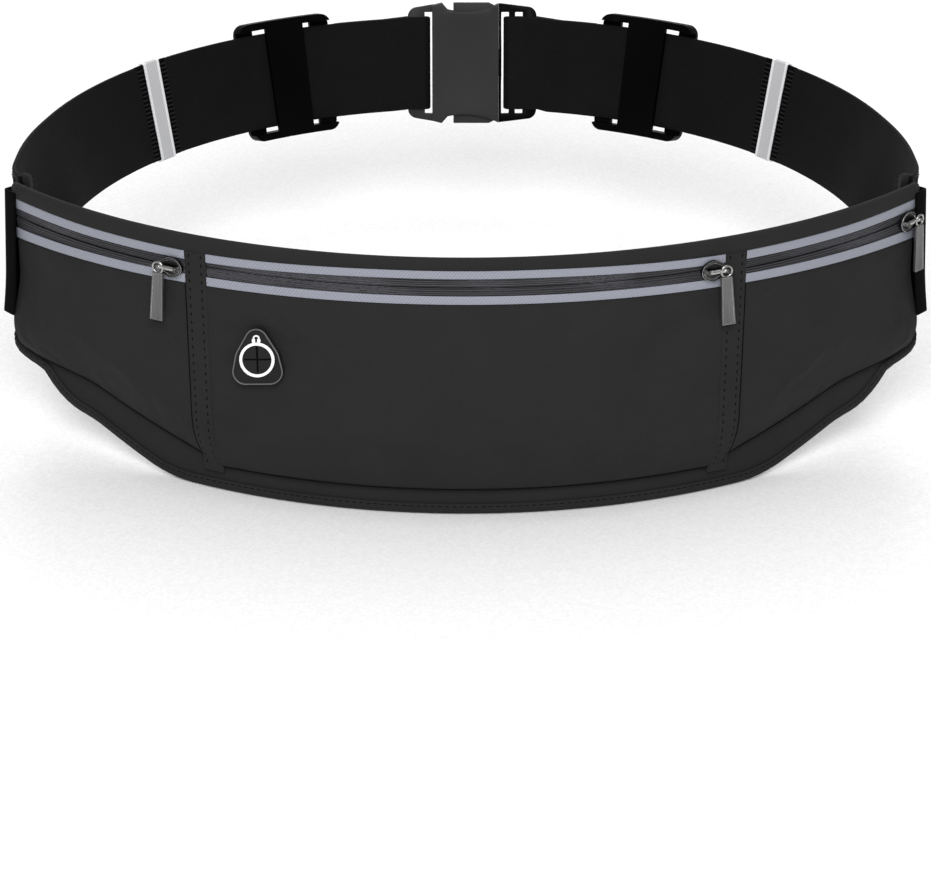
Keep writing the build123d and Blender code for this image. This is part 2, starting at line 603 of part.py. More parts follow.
# ---------------------------------------------------------------- buckle plug
with BuildPart() as buckle_plug:
    with BuildSketch(BUCKLE_PLANE.offset(-RAIL_THICKNESS / 2)):
        with BuildLine():
            Polyline((PLUG_WALL, -25.8), (PLUG_RIGHT, -23.8), (PLUG_RIGHT, 23.8), (PLUG_WALL, 25.8), close=True)
        make_face()
        fillet([v for v in vertices() if v.X > PLUG_RIGHT - 1], radius=3)
        for slot in (PLUG_SLOT, PLUG_SLOT + SLOT_WIDTH + 2.7):
            with Locations((slot + SLOT_WIDTH / 2, 0)):
                Rectangle(SLOT_WIDTH, WEBBING_WIDTH + 4, mode=Mode.SUBTRACT)
    extrude(amount=RAIL_THICKNESS)
    with BuildSketch(BUCKLE_PLANE.offset(-2.4)):
        with Locations(((PLUG_SLOT - 9) / 2, 0)):
            RectangleRounded(PLUG_SLOT + 9, 11, 0.7)
    extrude(amount=4.8)
save(buckle_plug.part, "buckle_plug")

# The two prongs spring outwards into the socket's side windows.
PRONG_TIP = WINDOW_LEFT + 2.7
for name, s in (("upper", 1), ("lower", -1)):
    with BuildPart() as prong:
        with BuildSketch(BUCKLE_PLANE.offset(-2.8)):
            with BuildLine():
                Polyline(
                    (SOCKET_MOUTH - 0.5, s * 15), (SOCKET_MOUTH - 0.1, s * 18.8), (WINDOW_RIGHT - 0.4, s * 20.8),
                    (WINDOW_RIGHT - 0.4, s * 25.2), (WINDOW_RIGHT - 2, s * 26), (PRONG_TIP + 0.6, s * 26),
                    (PRONG_TIP, s * 25.2), (PRONG_TIP, s * 19), (PRONG_TIP + 6, s * 17.6), close=True
                )
            make_face()
        extrude(amount=5.6)
    save(prong.part, f"{name}_prong")
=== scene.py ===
"""Running waist pack: its fabric, webbing, zippers and fittings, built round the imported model.

The file is laid out as an add-on: sizes and colours are properties, and each group of pieces has an
operator. Flat cloth is cut as a rectangle or an outline in metres, then laid on the front of the pack,
on the back panel or along the belt.
"""

import json
from bisect import bisect_right
from contextlib import contextmanager
from math import asin, atan, ceil, cos, pi, radians, sin, sqrt, tan

import bpy
import numpy as np
from bpy.props import FloatProperty, FloatVectorProperty, PointerProperty
from mathutils import Matrix, Vector, noise


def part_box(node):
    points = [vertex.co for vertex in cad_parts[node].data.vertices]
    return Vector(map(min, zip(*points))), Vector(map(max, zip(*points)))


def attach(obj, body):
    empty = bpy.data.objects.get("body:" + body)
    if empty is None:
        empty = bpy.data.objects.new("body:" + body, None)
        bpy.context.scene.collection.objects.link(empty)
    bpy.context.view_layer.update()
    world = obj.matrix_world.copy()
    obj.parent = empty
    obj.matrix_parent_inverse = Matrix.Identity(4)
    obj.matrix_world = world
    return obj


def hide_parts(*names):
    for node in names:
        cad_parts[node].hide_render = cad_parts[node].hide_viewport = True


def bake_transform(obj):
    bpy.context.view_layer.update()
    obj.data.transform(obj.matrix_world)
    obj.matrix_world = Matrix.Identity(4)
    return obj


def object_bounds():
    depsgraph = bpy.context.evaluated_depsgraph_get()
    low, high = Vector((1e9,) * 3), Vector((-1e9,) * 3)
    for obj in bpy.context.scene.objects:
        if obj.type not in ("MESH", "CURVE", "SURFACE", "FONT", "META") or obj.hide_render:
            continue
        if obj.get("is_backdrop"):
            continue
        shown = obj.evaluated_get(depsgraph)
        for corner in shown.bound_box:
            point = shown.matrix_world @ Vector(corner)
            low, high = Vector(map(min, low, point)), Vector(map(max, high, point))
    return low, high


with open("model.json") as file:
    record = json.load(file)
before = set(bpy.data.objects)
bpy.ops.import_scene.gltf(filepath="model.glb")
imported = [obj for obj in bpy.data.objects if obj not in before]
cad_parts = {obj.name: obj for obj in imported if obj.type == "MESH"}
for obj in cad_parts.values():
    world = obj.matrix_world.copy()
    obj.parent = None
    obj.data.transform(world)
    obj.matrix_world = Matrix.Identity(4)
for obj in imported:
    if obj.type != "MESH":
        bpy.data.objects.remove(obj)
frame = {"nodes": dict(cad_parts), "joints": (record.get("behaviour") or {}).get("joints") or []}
CAD_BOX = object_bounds()

bl_info = {
    "name": "Running waist pack",
    "version": (1, 0, 0),
    "blender": (4, 5, 0),
    "location": "View3D > Sidebar > Waist pack",
    "description": "Builds the fabric, webbing and fittings of a three-pocket running waist pack",
    "category": "Object",
}

# ---------------------------------------------------------------- sizes read from the frame
MM = 0.001
JOINTS = {joint["name"]: joint for joint in frame["joints"]}
SIDES = {"left": -1, "right": 1}
ZIPS = ("left", "centre", "right")

FRONT_AXIS_Y = JOINTS["centre_zip_run"]["pos_m"][1]
BELT_AXIS_Y = JOINTS["left_adjuster_run"]["pos_m"][1]
FRONT_R = FRONT_AXIS_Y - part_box("centre_pocket")[0].y
PANEL_R = FRONT_AXIS_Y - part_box("back_panel")[0].y
TAPE_R = FRONT_AXIS_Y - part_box("centre_zip_upper_tape")[0].y
TOP_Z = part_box("back_panel")[1].z
BOTTOM_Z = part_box("back_panel")[0].z
SEAM_HIGH_Z = {name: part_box(f"{name}_zip_upper_tape")[0].z for name in ZIPS}
SEAM_LOW_Z = {name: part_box(f"{name}_zip_lower_tape")[1].z for name in ZIPS}
ZIP_Z = {name: (SEAM_HIGH_Z[name] + SEAM_LOW_Z[name]) / 2 for name in ZIPS}
DIVIDER_TOP_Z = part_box("left_divider")[1].z
CENTRE_SEAM_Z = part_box("centre_pocket")[0].z
END_TAPE_Z = (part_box("left_end_tape")[0].z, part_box("left_end_tape")[1].z)
PANEL_TO_FRONT = FRONT_R - PANEL_R

# distances along the front from its middle, measured on the pocket fronts
POCKET_SPLIT = FRONT_R * asin(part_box("centre_pocket")[1].x / FRONT_R)
DIVIDER_END = FRONT_R * asin(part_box("right_divider")[1].x / (FRONT_R + 0.2 * MM))
ZIP_END = FRONT_R * asin(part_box("right_zip_upper_tape")[1].x / TAPE_R)

PANEL_THICKNESS = 2.6 * MM
TURN_R = 24.6 * MM          # the panel's outer face turns this tightly round the wearer's side
TURN_START = 48.5           # degrees off the middle where it starts to turn
PANEL_TURN = PANEL_R * radians(TURN_START)
PANEL_BEND_END = PANEL_TURN + TURN_R * (pi / 2 - radians(TURN_START))
FLAP_END_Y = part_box("back_panel")[1].y
FLAP_LOW_Z = -42.0 * MM     # the end flap's lower edge falls away from here, first gently, then steeply
FLAP_RISE = 12 / 34
FLAP_BEND_Y = -68.0 * MM
FLAP_FALL = 45 / 14
FLAP_CORNER_R = 15.0 * MM
FLAP_BLEND = 22.0 * MM      # the lower edge swings from the front to the flap over this height
FLAP_DROP = 5.5 * MM        # the end flaps' upper edge lies a little below the front's
FLARE = 8.0 * MM            # how far the side pockets' lower outer ends stand out from the arc
HIP_X = 109.5 * MM          # the pack's lower edge starts to rise here, over a wide curve
HIP_R = 40.0 * MM
SIDE_RISE = 25.5 / 56.5
SIDE_SEAM_RISE = 23.5 / 65.5
SIDE_SEAM_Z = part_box("right_pocket")[0].z
FABRIC = 1.2 * MM

WEBBING_WIDTH = 40.0 * MM
WEBBING_THICKNESS = 1.6 * MM
BELT_R = 163.0 * MM
BELT_LEAN = radians(14.0)
BELT_ARC_END = radians(76.0)
BAND_ANGLE = radians(51.5)
BAND_LENGTH = 8.4 * MM
ADJUSTER_ANGLE = radians(28.0)
RETURN_END = radians(19.6)

prong_pins = [Vector(JOINTS[f"{name}_prong_press"]["pos_m"]) for name in ("upper", "lower")]
PRONG_PIN_X = 10.1 * MM
BUCKLE_CENTRE = (prong_pins[0] + prong_pins[1]) / 2 - Vector((PRONG_PIN_X, 0, 0))
BUCKLE_UP = Vector((0, sin(BELT_LEAN), cos(BELT_LEAN)))
BUCKLE_OUT = Vector((0, -cos(BELT_LEAN), sin(BELT_LEAN)))
STRAP_TO_BAR = 2.9 * MM     # from the middle of a buckle bar to the middle of the webbing over it


# ---------------------------------------------------------------- places
def ease(value, start, end):
    """0 at the start and 1 at the end, with a smooth run between them."""
    share = min(1.0, max(0.0, (value - start) / (end - start)))
    return share * share * (3 - 2 * share)


def flare(far, v):
    """The lower outer ends of the side pockets stand out a little from the arc."""
    return FLARE * ease(far, 0.8, 1.0) * ease(-v, 12 * MM, 44 * MM)


def on_front(u, v, out=0.0):
    """Point on the front: u along it from the middle, v its height, out from the pocket fronts."""
    angle = u / FRONT_R
    radius = FRONT_R + out + flare(abs(u) / ZIP_END, v)
    return Vector((radius * sin(angle), FRONT_AXIS_Y - radius * cos(angle), v))


def on_panel(u, v, out=0.0):
    """Point on the back panel's outer face, which turns at both ends and runs back along the waist."""
    side = 1 if u >= 0 else -1
    far = abs(u)
    turn_at = radians(TURN_START)
    out += flare(far / PANEL_TURN, v) * (1 - ease(far, PANEL_TURN, PANEL_BEND_END))
    if far <= PANEL_TURN:
        x = (PANEL_R + out) * sin(far / PANEL_R)
        y = FRONT_AXIS_Y - (PANEL_R + out) * cos(far / PANEL_R)
        return Vector((side * x, y, v))
    centre_x = (PANEL_R - TURN_R) * sin(turn_at)
    centre_y = FRONT_AXIS_Y - (PANEL_R - TURN_R) * cos(turn_at)
    angle = turn_at + (far - PANEL_R * turn_at) / TURN_R
    straight = max(0.0, angle - pi / 2) * TURN_R
    angle = min(angle, pi / 2)
    x = centre_x + (TURN_R + out) * sin(angle)
    y = centre_y - (TURN_R + out) * cos(angle) + straight
    return Vector((side * x, y, v))


PANEL_HALF = PANEL_BEND_END + FLAP_END_Y - on_panel(PANEL_BEND_END, 0).y


def on_belt(u, v, out=0.0):
    """Point on the belt: u along it from the buckle's middle, v up its lean, out towards its inside."""
    angle = u / BELT_R
    radius = BELT_R - out * cos(BELT_LEAN) + v * sin(BELT_LEAN)
    height = v * cos(BELT_LEAN) + out * sin(BELT_LEAN)
    return Vector((radius * sin(angle), BELT_AXIS_Y + radius * cos(angle), height))


def on_buckle(u, v, out=0.0):
    """Point in the buckle's own plane: u along the belt, v up its lean, out towards the waist."""
    return BUCKLE_CENTRE + Vector((u, 0, 0)) + BUCKLE_UP * v + BUCKLE_OUT * out


def bottom_edge(x):
    """Height of the pack's lower edge, seen from the front: level, then rising past the hips."""
    x = abs(x)
    slope = atan(SIDE_RISE)
    start = HIP_X - HIP_R * tan(slope / 2)
    end = HIP_X + HIP_R * tan(slope / 2) * cos(slope)
    if x <= start:
        return BOTTOM_Z
    if x < end:
        return BOTTOM_Z + HIP_R - sqrt(HIP_R**2 - (x - start) ** 2)
    return BOTTOM_Z + SIDE_RISE * (x - HIP_X)


def panel_bottom(u):
    """Height of the panel's lower edge at a distance along it, without its rounded end corners."""
    here = on_panel(u, 0)
    gentle = FLAP_LOW_Z - FLAP_RISE * (FLAP_END_Y - max(here.y, FLAP_BEND_Y))
    steep = FLAP_FALL * max(0.0, FLAP_BEND_Y - here.y)
    front, flap = bottom_edge(here.x), gentle - steep
    overlap = max(0.0, 1 - abs(front - flap) / FLAP_BLEND)
    return max(front, flap) + FLAP_BLEND / 4 * overlap**2


def side_seam(u):
    """Height of a side pocket's bottom seam at a distance along the front."""
    start = FRONT_R * sin(DIVIDER_END / FRONT_R)
    return SIDE_SEAM_Z + SIDE_SEAM_RISE * (FRONT_R * sin(abs(u) / FRONT_R) - start)


def zip_high(u):
    """Upper edge of the zipper tape and its stripe, which dips towards the side pockets."""
    return (16.9 - 1.6 * ease(abs(u), 20 * MM, 105 * MM) + 0.4 * ease(abs(u), 0.75 * ZIP_END, ZIP_END)) * MM


def zip_low(u):
    """Lower edge of the zipper tape and its stripe: the side zippers widen towards the belt."""
    return (4.3 - 4.2 * (u / ZIP_END) ** 2) * MM


def stripe_width(u):
    return (3.1 + 0.8 * (u / ZIP_END) ** 2) * MM


def panel_lean(u, v):
    """The panel's top leans forward to meet the zippers' top seam, between the end tapes."""
    rise = min(1.0, max(0.0, (v - 6 * MM) / (13 * MM)))
    return 6.3 * MM * rise * rise * (1 - ease(abs(u), 0.93 * PANEL_TURN, PANEL_TURN))


POCKET_ROLL = 20.0 * MM     # height over which a pocket's front rolls in to its bottom seam
SEAM_DEPTH = PANEL_TO_FRONT - FABRIC - 0.5 * MM
ROLL_POWER = 2.2


def roll_in(rise):
    """How far in the front of a pocket lies at a height above its bottom seam."""
    share = 1 - min(1.0, max(0.0, rise / POCKET_ROLL))
    return -SEAM_DEPTH * share**ROLL_POWER


def divider_level(u, v):
    """The divider follows the centre pocket on one side and the side pocket on the other."""
    share = (abs(u) - POCKET_SPLIT) / (DIVIDER_END - POCKET_SPLIT)
    share = min(1.0, max(0.0, share))
    return (1 - share) * roll_in(v - CENTRE_SEAM_Z) + share * roll_in(v - side_seam(u)) + 0.3 * MM


# ---------------------------------------------------------------- cutting and laying cloth
EDGE_ROWS = (0.0, 0.15, 0.45, 1.0)      # rows over a rounded edge, as shares of its radius


def spread(start, end, count, edge):
    """Distances from start to end: close together over both rounded edges, even between them."""
    inside = end - start - 2 * edge
    middle = [start + edge + inside * i / count for i in range(1, count)]
    near = [start + edge * k for k in EDGE_ROWS]
    far = [end - edge * k for k in reversed(EDGE_ROWS)]
    return near + middle + far


def mesh_piece(name, points, faces, flat):
    """New piece from points, faces and the flat place of each point, kept as its UV map."""
    mesh = bpy.data.meshes.new(name)
    mesh.from_pydata([tuple(p) for p in points], [], faces)
    corners = np.empty(len(mesh.loops), np.int32)
    mesh.loops.foreach_get("vertex_index", corners)
    uv = mesh.uv_layers.new(name="flat")
    uv.data.foreach_set("uv", np.array(flat, np.float32)[corners].ravel())
    mesh.polygons.foreach_set("use_smooth", [True] * len(mesh.polygons))
    piece = bpy.data.objects.new(name, mesh)
    bpy.context.scene.collection.objects.link(piece)
    return piece


def grid_faces(columns, rows, first=0, flip=False):
    """Faces of a grid whose points are numbered row by row within each column."""
    faces = []
    for i in range(columns - 1):
        for j in range(rows - 1):
            a = first + i * rows + j
            face = (a, a + rows, a + rows + 1, a + 1)
            faces.append(face[::-1] if flip else face)
    return faces


def slab(name, span, low, high, lay, thickness, step=3 * MM, level=None, rows=None, columns=None):
    """Flat piece with rounded edges, laid on a surface. Its outer face is at level, its body inside it."""
    edge = 0.49 * thickness
    start, end = span
    columns = columns or spread(start, end, max(1, round((end - start) / step)), edge)
    tallest = max(high(u) - low(u) for u in columns)
    rows = rows or max(1, round(tallest / step))
    outer, inner, flat = [], [], []
    for u in columns:
        bottom, top = low(u), high(u)
        for v in spread(bottom, top, rows, edge):
            reach = min(u - columns[0], columns[-1] - u, v - bottom, top - v)
            depth = edge - sqrt(max(0.0, edge**2 - (edge - min(reach, edge)) ** 2))
            face = level(u, v) if level else 0.0
            outer.append(lay(u, v, face - depth))
            inner.append(lay(u, v, face - thickness + depth))
            flat.append((u, v))
    n = len(columns)
    m = len(outer) // n
    faces = grid_faces(n, m) + grid_faces(n, m, first=n * m, flip=True)
    rim = [i * m for i in range(n)] + [(n - 1) * m + j for j in range(1, m)]
    rim += [i * m + m - 1 for i in range(n - 2, -1, -1)] + [j for j in range(m - 2, 0, -1)]
    for a, b in zip(rim, rim[1:] + rim[:1]):
        faces.append((b, a, a + n * m, b + n * m))
    return mesh_piece(name, outer + inner, faces, flat + flat)


def sweep(name, columns, profile, lay):
    """Closed profile of (v, out) points carried along the columns, with closed ends."""
    points = [lay(u, v, out) for u in columns for v, out in profile]
    round_it = [0.0]
    for (v0, out0), (v1, out1) in zip(profile, profile[1:]):
        round_it.append(round_it[-1] + sqrt((v1 - v0) ** 2 + (out1 - out0) ** 2))
    flat = [(u, distance) for u in columns for distance in round_it]
    count = len(profile)
    faces = []
    for i in range(len(columns) - 1):
        for j in range(count):
            k = (j + 1) % count
            faces.append((i * count + j, (i + 1) * count + j, (i + 1) * count + k, i * count + k))
    last = (len(columns) - 1) * count
    faces += [tuple(range(count)), tuple(last + j for j in reversed(range(count)))]
    piece = mesh_piece(name, points, faces, flat)
    turn_outwards(piece)
    return piece


def even(start, end, step):
    """Distances about step apart, both ends included."""
    count = max(1, ceil(abs(end - start) / step))
    return [start + (end - start) * i / count for i in range(count + 1)]


def arc(centre, radius, start, end, count=6):
    """Points on an arc in a profile, between two angles in degrees."""
    angles = [radians(start + (end - start) * i / count) for i in range(count + 1)]
    return [(centre[0] + radius * cos(a), centre[1] + radius * sin(a)) for a in angles]


def folded_strip(line, thickness):
    """Closed profile of a strip of cloth whose middle follows a line of (v, out) points."""
    one, other = [], []
    for i, (v, out) in enumerate(line):
        before, after = line[max(0, i - 1)], line[min(len(line) - 1, i + 1)]
        along = Vector((after[0] - before[0], after[1] - before[1])).normalized()
        across = Vector((-along.y, along.x)) * thickness / 2
        inset = 0.35 * thickness if i in (0, len(line) - 1) else 0.0
        along *= inset if i == 0 else -inset
        one.append((v + across.x, out + across.y))
        other.append((v - across.x, out - across.y))
        if inset:
            one[-1] = (one[-1][0] + along.x, one[-1][1] + along.y)
            other[-1] = (other[-1][0] + along.x, other[-1][1] + along.y)
    ends = [(line[-1][0], line[-1][1])], [(line[0][0], line[0][1])]
    return one + ends[0] + other[::-1] + ends[1]


def follow(stations):
    """Lay function along a ribbon's middle line, given as (centre, up) pairs, and the line's length."""
    centres = [Vector(centre) for centre, _ in stations]
    ups = [Vector(up).normalized() for _, up in stations]
    lengths = [0.0]
    for a, b in zip(centres, centres[1:]):
        lengths.append(lengths[-1] + (b - a).length)
    tangents = []
    for i in range(len(centres)):
        before, after = centres[max(0, i - 1)], centres[min(len(centres) - 1, i + 1)]
        tangents.append((after - before).normalized())

    def lay(u, v, out=0.0):
        i = min(max(bisect_right(lengths, u) - 1, 0), len(lengths) - 2)
        share = (u - lengths[i]) / (lengths[i + 1] - lengths[i])
        up = ups[i].lerp(ups[i + 1], share).normalized()
        along = tangents[i].lerp(tangents[i + 1], share)
        return centres[i].lerp(centres[i + 1], share) + up * v + along.cross(up).normalized() * out

    return lay, lengths


# ---------------------------------------------------------------- modelling by hand
def only(piece):
    """Select this piece alone and make it active."""
    bpy.ops.object.select_all(action="DESELECT")
    piece.select_set(True)
    bpy.context.view_layer.objects.active = piece


@contextmanager
def editing(piece, select="NONE", kind="FACE"):
    """Edit mode on one piece, with all or nothing selected, or what test(element) says."""
    only(piece)
    bpy.ops.object.mode_set(mode="EDIT")
    bpy.ops.mesh.select_mode(type=kind)
    bpy.ops.mesh.select_all(action="SELECT" if select == "ALL" else "DESELECT")
    if callable(select):
        bpy.ops.object.mode_set(mode="OBJECT")
        elements = {"VERT": "vertices", "EDGE": "edges", "FACE": "polygons"}[kind]
        for element in getattr(piece.data, elements):
            element.select = select(element)
        bpy.ops.object.mode_set(mode="EDIT")
    yield
    bpy.ops.object.mode_set(mode="OBJECT")


def named(name):
    """Name the primitive that was just added, and bring its place and scale into its mesh."""
    piece = bpy.context.object
    piece.name = piece.data.name = name
    bpy.ops.object.transform_apply(location=True, rotation=True, scale=True)
    return piece


def block(name, low, high):
    """Cuboid between two corners, in millimetres."""
    bpy.ops.object.select_all(action="DESELECT")
    middle = [(a + b) / 2 * MM for a, b in zip(low, high)]
    size = [abs(b - a) * MM for a, b in zip(low, high)]
    bpy.ops.mesh.primitive_cube_add(size=1, location=middle, scale=size)
    return named(name)


def rod(name, radius, low_z, high_z, centre=(0, 0), sides=48, stretch=(1, 1)):
    """Cylinder along z, in millimetres."""
    bpy.ops.object.select_all(action="DESELECT")
    middle = (centre[0] * MM, centre[1] * MM, (low_z + high_z) / 2 * MM)
    bpy.ops.mesh.primitive_cylinder_add(
        vertices=sides, radius=radius * MM, depth=(high_z - low_z) * MM, location=middle,
        scale=(stretch[0], stretch[1], 1),
    )
    return named(name)


def modify(piece, kind, **settings):
    """Add a modifier, set it and apply it."""
    only(piece)
    modifier = piece.modifiers.new(kind.title(), kind)
    for key, value in settings.items():
        setattr(modifier, key, value)
    bpy.ops.object.modifier_apply(modifier=modifier.name)


def combine(piece, other, operation="UNION"):
    """Join another solid to this one, or cut it away."""
    modify(piece, "BOOLEAN", object=other, operation=operation, solver="EXACT")
    bpy.data.objects.remove(other)


def cut(piece, *cutters):
    for cutter in cutters:
        combine(piece, cutter, "DIFFERENCE")


def round_edges(piece, width, segments=3, angle=30, material=-1):
    """Bevel the sharp edges, in millimetres, and smooth what is left."""
    modify(piece, "BEVEL", width=width * MM, segments=segments, limit_method="ANGLE",
           angle_limit=radians(angle), material=material, use_clamp_overlap=True)
    only(piece)
    bpy.ops.object.shade_smooth_by_angle(angle=radians(angle))


def turn_outwards(piece):
    """Make every face of a closed piece point outwards."""
    with editing(piece, "ALL"):
        bpy.ops.mesh.normals_make_consistent(inside=False)


def pull_out(x, y, z):
    """Extrude what is selected, in millimetres."""
    bpy.ops.mesh.extrude_region_move(TRANSFORM_OT_translate={"value": (x * MM, y * MM, z * MM)})


def stands(piece, edge):
    """True for an edge that runs through the thickness of a piece modelled flat."""
    low, high = (piece.data.vertices[i].co.z for i in edge.vertices)
    return abs(high - low) > MM


def slice_across(piece, positions, normal=(1, 0, 0)):
    """Cut edges into a piece at positions along an axis, so that it can bend there."""
    for position in positions:
        with editing(piece, "ALL"):
            bpy.ops.mesh.bisect(plane_co=Vector(normal) * position, plane_no=normal)


def place(piece, lay, u=0.0, v=0.0):
    """Lay a piece that was modelled flat: x becomes u, y becomes v and z becomes out."""
    for vertex in piece.data.vertices:
        x, y, z = vertex.co
        vertex.co = lay(u + x, v + y, z)
    piece.data.update()


def copied(piece, name, mirror=False):
    """Copy of a piece with a mesh of its own, mirrored in x if asked."""
    other = piece.copy()
    other.data = piece.data.copy()
    other.name = other.data.name = name
    bpy.context.scene.collection.objects.link(other)
    if mirror:
        other.data.transform(Matrix.Scale(-1, 4, (1, 0, 0)))
        other.data.flip_normals()
    return other


def joined(name, pieces):
    """Several pieces joined into one."""
    bpy.ops.object.select_all(action="DESELECT")
    for piece in pieces:
        piece.select_set(True)
    bpy.context.view_layer.objects.active = pieces[0]
    if len(pieces) > 1:
        bpy.ops.object.join()
    pieces[0].name = pieces[0].data.name = name
    return pieces[0]


def paint(piece, *materials):
    """Give a piece its materials, in the order of its material slots."""
    piece.data.materials.clear()
    for material in materials:
        piece.data.materials.append(material)


def fit(piece, body, slot, *nodes):
    """A finished piece rides on its body and hides the CAD nodes it stands for; the slot is not used."""
    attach(piece, body)
    if nodes:
        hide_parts(*nodes)


# ---------------------------------------------------------------- soft settling and stitches
SETTLE_FRAMES = 20


def settle(piece, held, pressure, most):
    """Let a front panel settle under a light push from inside, held along its seams."""
    rest = [vertex.co.copy() for vertex in piece.data.vertices]
    seam = piece.vertex_groups.new(name="seam")
    seam.add(held, 1.0, "REPLACE")
    only(piece)
    cloth = piece.modifiers.new("Cloth", "CLOTH")
    cloth.settings.quality = 6
    cloth.settings.mass = 0.3
    cloth.settings.tension_stiffness = 20
    cloth.settings.compression_stiffness = 20
    cloth.settings.shear_stiffness = 8
    cloth.settings.bending_stiffness = 0.4
    cloth.settings.shrink_min = -0.012
    cloth.settings.use_pressure = True
    cloth.settings.uniform_pressure_force = pressure
    cloth.settings.vertex_group_mass = "seam"
    cloth.settings.effector_weights.gravity = 0
    cloth.collision_settings.use_collision = False
    cloth.point_cache.frame_end = SETTLE_FRAMES
    for step in range(1, SETTLE_FRAMES + 1):
        bpy.context.scene.frame_set(step)
    bpy.ops.object.modifier_apply(modifier=cloth.name)
    for vertex, before in zip(piece.data.vertices, rest):
        move = vertex.co - before
        if move.length > most:
            vertex.co = before + move * most / move.length
    piece.vertex_groups.clear()
    bpy.context.scene.frame_set(1)


def stitch_mesh():
    """One stitch: a short rounded piece of thread, 1 long, 1 wide and 1 high."""
    bpy.ops.object.select_all(action="DESELECT")
    bpy.ops.mesh.primitive_uv_sphere_add(segments=8, ring_count=6, radius=0.5, rotation=(0, pi / 2, 0))
    piece = named("stitch")
    points = np.array([vertex.co for vertex in piece.data.vertices])
    points[:, 0] = np.clip(points[:, 0] * 1.25, -0.5, 0.5)
    faces = [tuple(polygon.vertices) for polygon in piece.data.polygons]
    bpy.data.objects.remove(piece)
    return points, faces


def sew(name, rows, lay, level, pitch, length, width, height=0.8):
    """Rows of stitches. Each row is a line of flat (u, v) points; level says how high the cloth is."""
    shape, shape_faces = stitch_mesh()
    points, faces, flat = [], [], []
    for row in rows:
        done = 0.0
        for (u0, v0), (u1, v1) in zip(row, row[1:]):
            run = sqrt((u1 - u0) ** 2 + (v1 - v0) ** 2)
            while done <= run:
                u, v = u0 + (u1 - u0) * done / run, v0 + (v1 - v0) * done / run
                face = level(u, v) if callable(level) else level
                centre = lay(u, v, face)
                ahead = 0.5 * MM / run
                nu, nv = u + (u1 - u0) * ahead, v + (v1 - v0) * ahead
                along = (lay(nu, nv, level(nu, nv) if callable(level) else level) - centre).normalized()
                up = (lay(u, v, face + MM) - centre).normalized()
                axes = np.array([along * length, up.cross(along) * width, up * width * height])
                first = len(points)
                points.extend((shape @ axes + np.array(centre)).tolist())
                faces.extend(tuple(first + i for i in face_points) for face_points in shape_faces)
                flat.extend([(0.5, 0.5)] * len(shape))
                done += pitch
            done -= run
    return mesh_piece(name, points, faces, flat)


# ---------------------------------------------------------------- materials
def linear(code):
    """Linear colour of an sRGB hex value."""
    values = [int(code[i:i + 2], 16) / 255 for i in (1, 3, 5)]
    return tuple(c / 12.92 if c <= 0.04045 else ((c + 0.055) / 1.055) ** 2.4 for c in values)


def opaque(colour):
    return (*colour[:3], 1.0)


def tinted(colour, factor):
    return (*(min(1.0, c * factor) for c in colour[:3]), 1.0)


def add(tree, kind, inputs=None, **settings):
    """Add a node with its settings. An input given a socket is linked, and any other value is set."""
    node = tree.nodes.new(kind)
    for key, value in settings.items():
        setattr(node, key, value)
    for key, value in (inputs or {}).items():
        if isinstance(value, bpy.types.NodeSocket):
            tree.links.new(value, node.inputs[key])
        else:
            node.inputs[key].default_value = value
    return node


def fresh(name, roughness, **shader_inputs):
    """New material with one Principled shader, and the shader."""
    material = bpy.data.materials.new(name)
    material.use_nodes = True
    tree = material.node_tree
    tree.nodes.clear()
    values = {"Roughness": roughness, **{key.replace("_", " "): v for key, v in shader_inputs.items()}}
    shader = add(tree, "ShaderNodeBsdfPrincipled", values)
    add(tree, "ShaderNodeOutputMaterial", {"Surface": shader.outputs["BSDF"]})
    return material, tree, shader


def flat_place(tree, scale_u, scale_v, turn=0.0):
    """The piece's flat cut in pattern repeats: its UV map is in metres."""
    uv = add(tree, "ShaderNodeUVMap", uv_map="flat")
    return add(tree, "ShaderNodeMapping", {
        "Vector": uv.outputs["UV"], "Rotation": (0, 0, turn), "Scale": (scale_u, scale_v, 1),
    }).outputs["Vector"]


def solid_place(tree, scale=(1, 1, 1)):
    """Object coordinates in pattern repeats, for moulded and metal pieces."""
    where = add(tree, "ShaderNodeTexCoord").outputs["Object"]
    return add(tree, "ShaderNodeMapping", {"Vector": where, "Scale": scale}).outputs["Vector"]


def two_colours(tree, factor, low, high, start=0.3, end=0.7):
    """Colour that goes from low to high as a factor goes from start to end."""
    ramp = add(tree, "ShaderNodeValToRGB", {"Fac": factor})
    ramp.color_ramp.elements[0].position, ramp.color_ramp.elements[0].color = start, opaque(low)
    ramp.color_ramp.elements[1].position, ramp.color_ramp.elements[1].color = end, opaque(high)
    return ramp.outputs["Color"]


def relief(tree, shader, height, strength, distance):
    """Bump the surface by a height, up to a distance in metres."""
    bump = add(tree, "ShaderNodeBump", {"Height": height, "Strength": strength, "Distance": distance})
    tree.links.new(bump.outputs["Normal"], shader.inputs["Normal"])


THREAD_SCALE = 0.5          # scale of the two wave textures that make a weave


def thread_relief(tree, across, along, crimp=0.6):
    """Height of a plain weave: two sets of threads with these spacings in metres, waving over each other."""
    weft = add(tree, "ShaderNodeTexWave", {
        "Vector": flat_place(tree, 1 / across, 1 / across), "Scale": THREAD_SCALE,
        "Distortion": crimp, "Detail": 1.0, "Detail Scale": 1.5,
    }, wave_type="BANDS", bands_direction="X", wave_profile="SIN")
    warp = add(tree, "ShaderNodeTexWave", {
        "Vector": flat_place(tree, 1 / along, 1 / along), "Scale": THREAD_SCALE,
        "Distortion": crimp, "Detail": 1.0, "Detail Scale": 1.5,
    }, wave_type="BANDS", bands_direction="Y", wave_profile="SIN")
    return add(tree, "ShaderNodeMath", {0: weft.outputs["Fac"], 1: warp.outputs["Fac"]},
               operation="MULTIPLY").outputs["Value"]


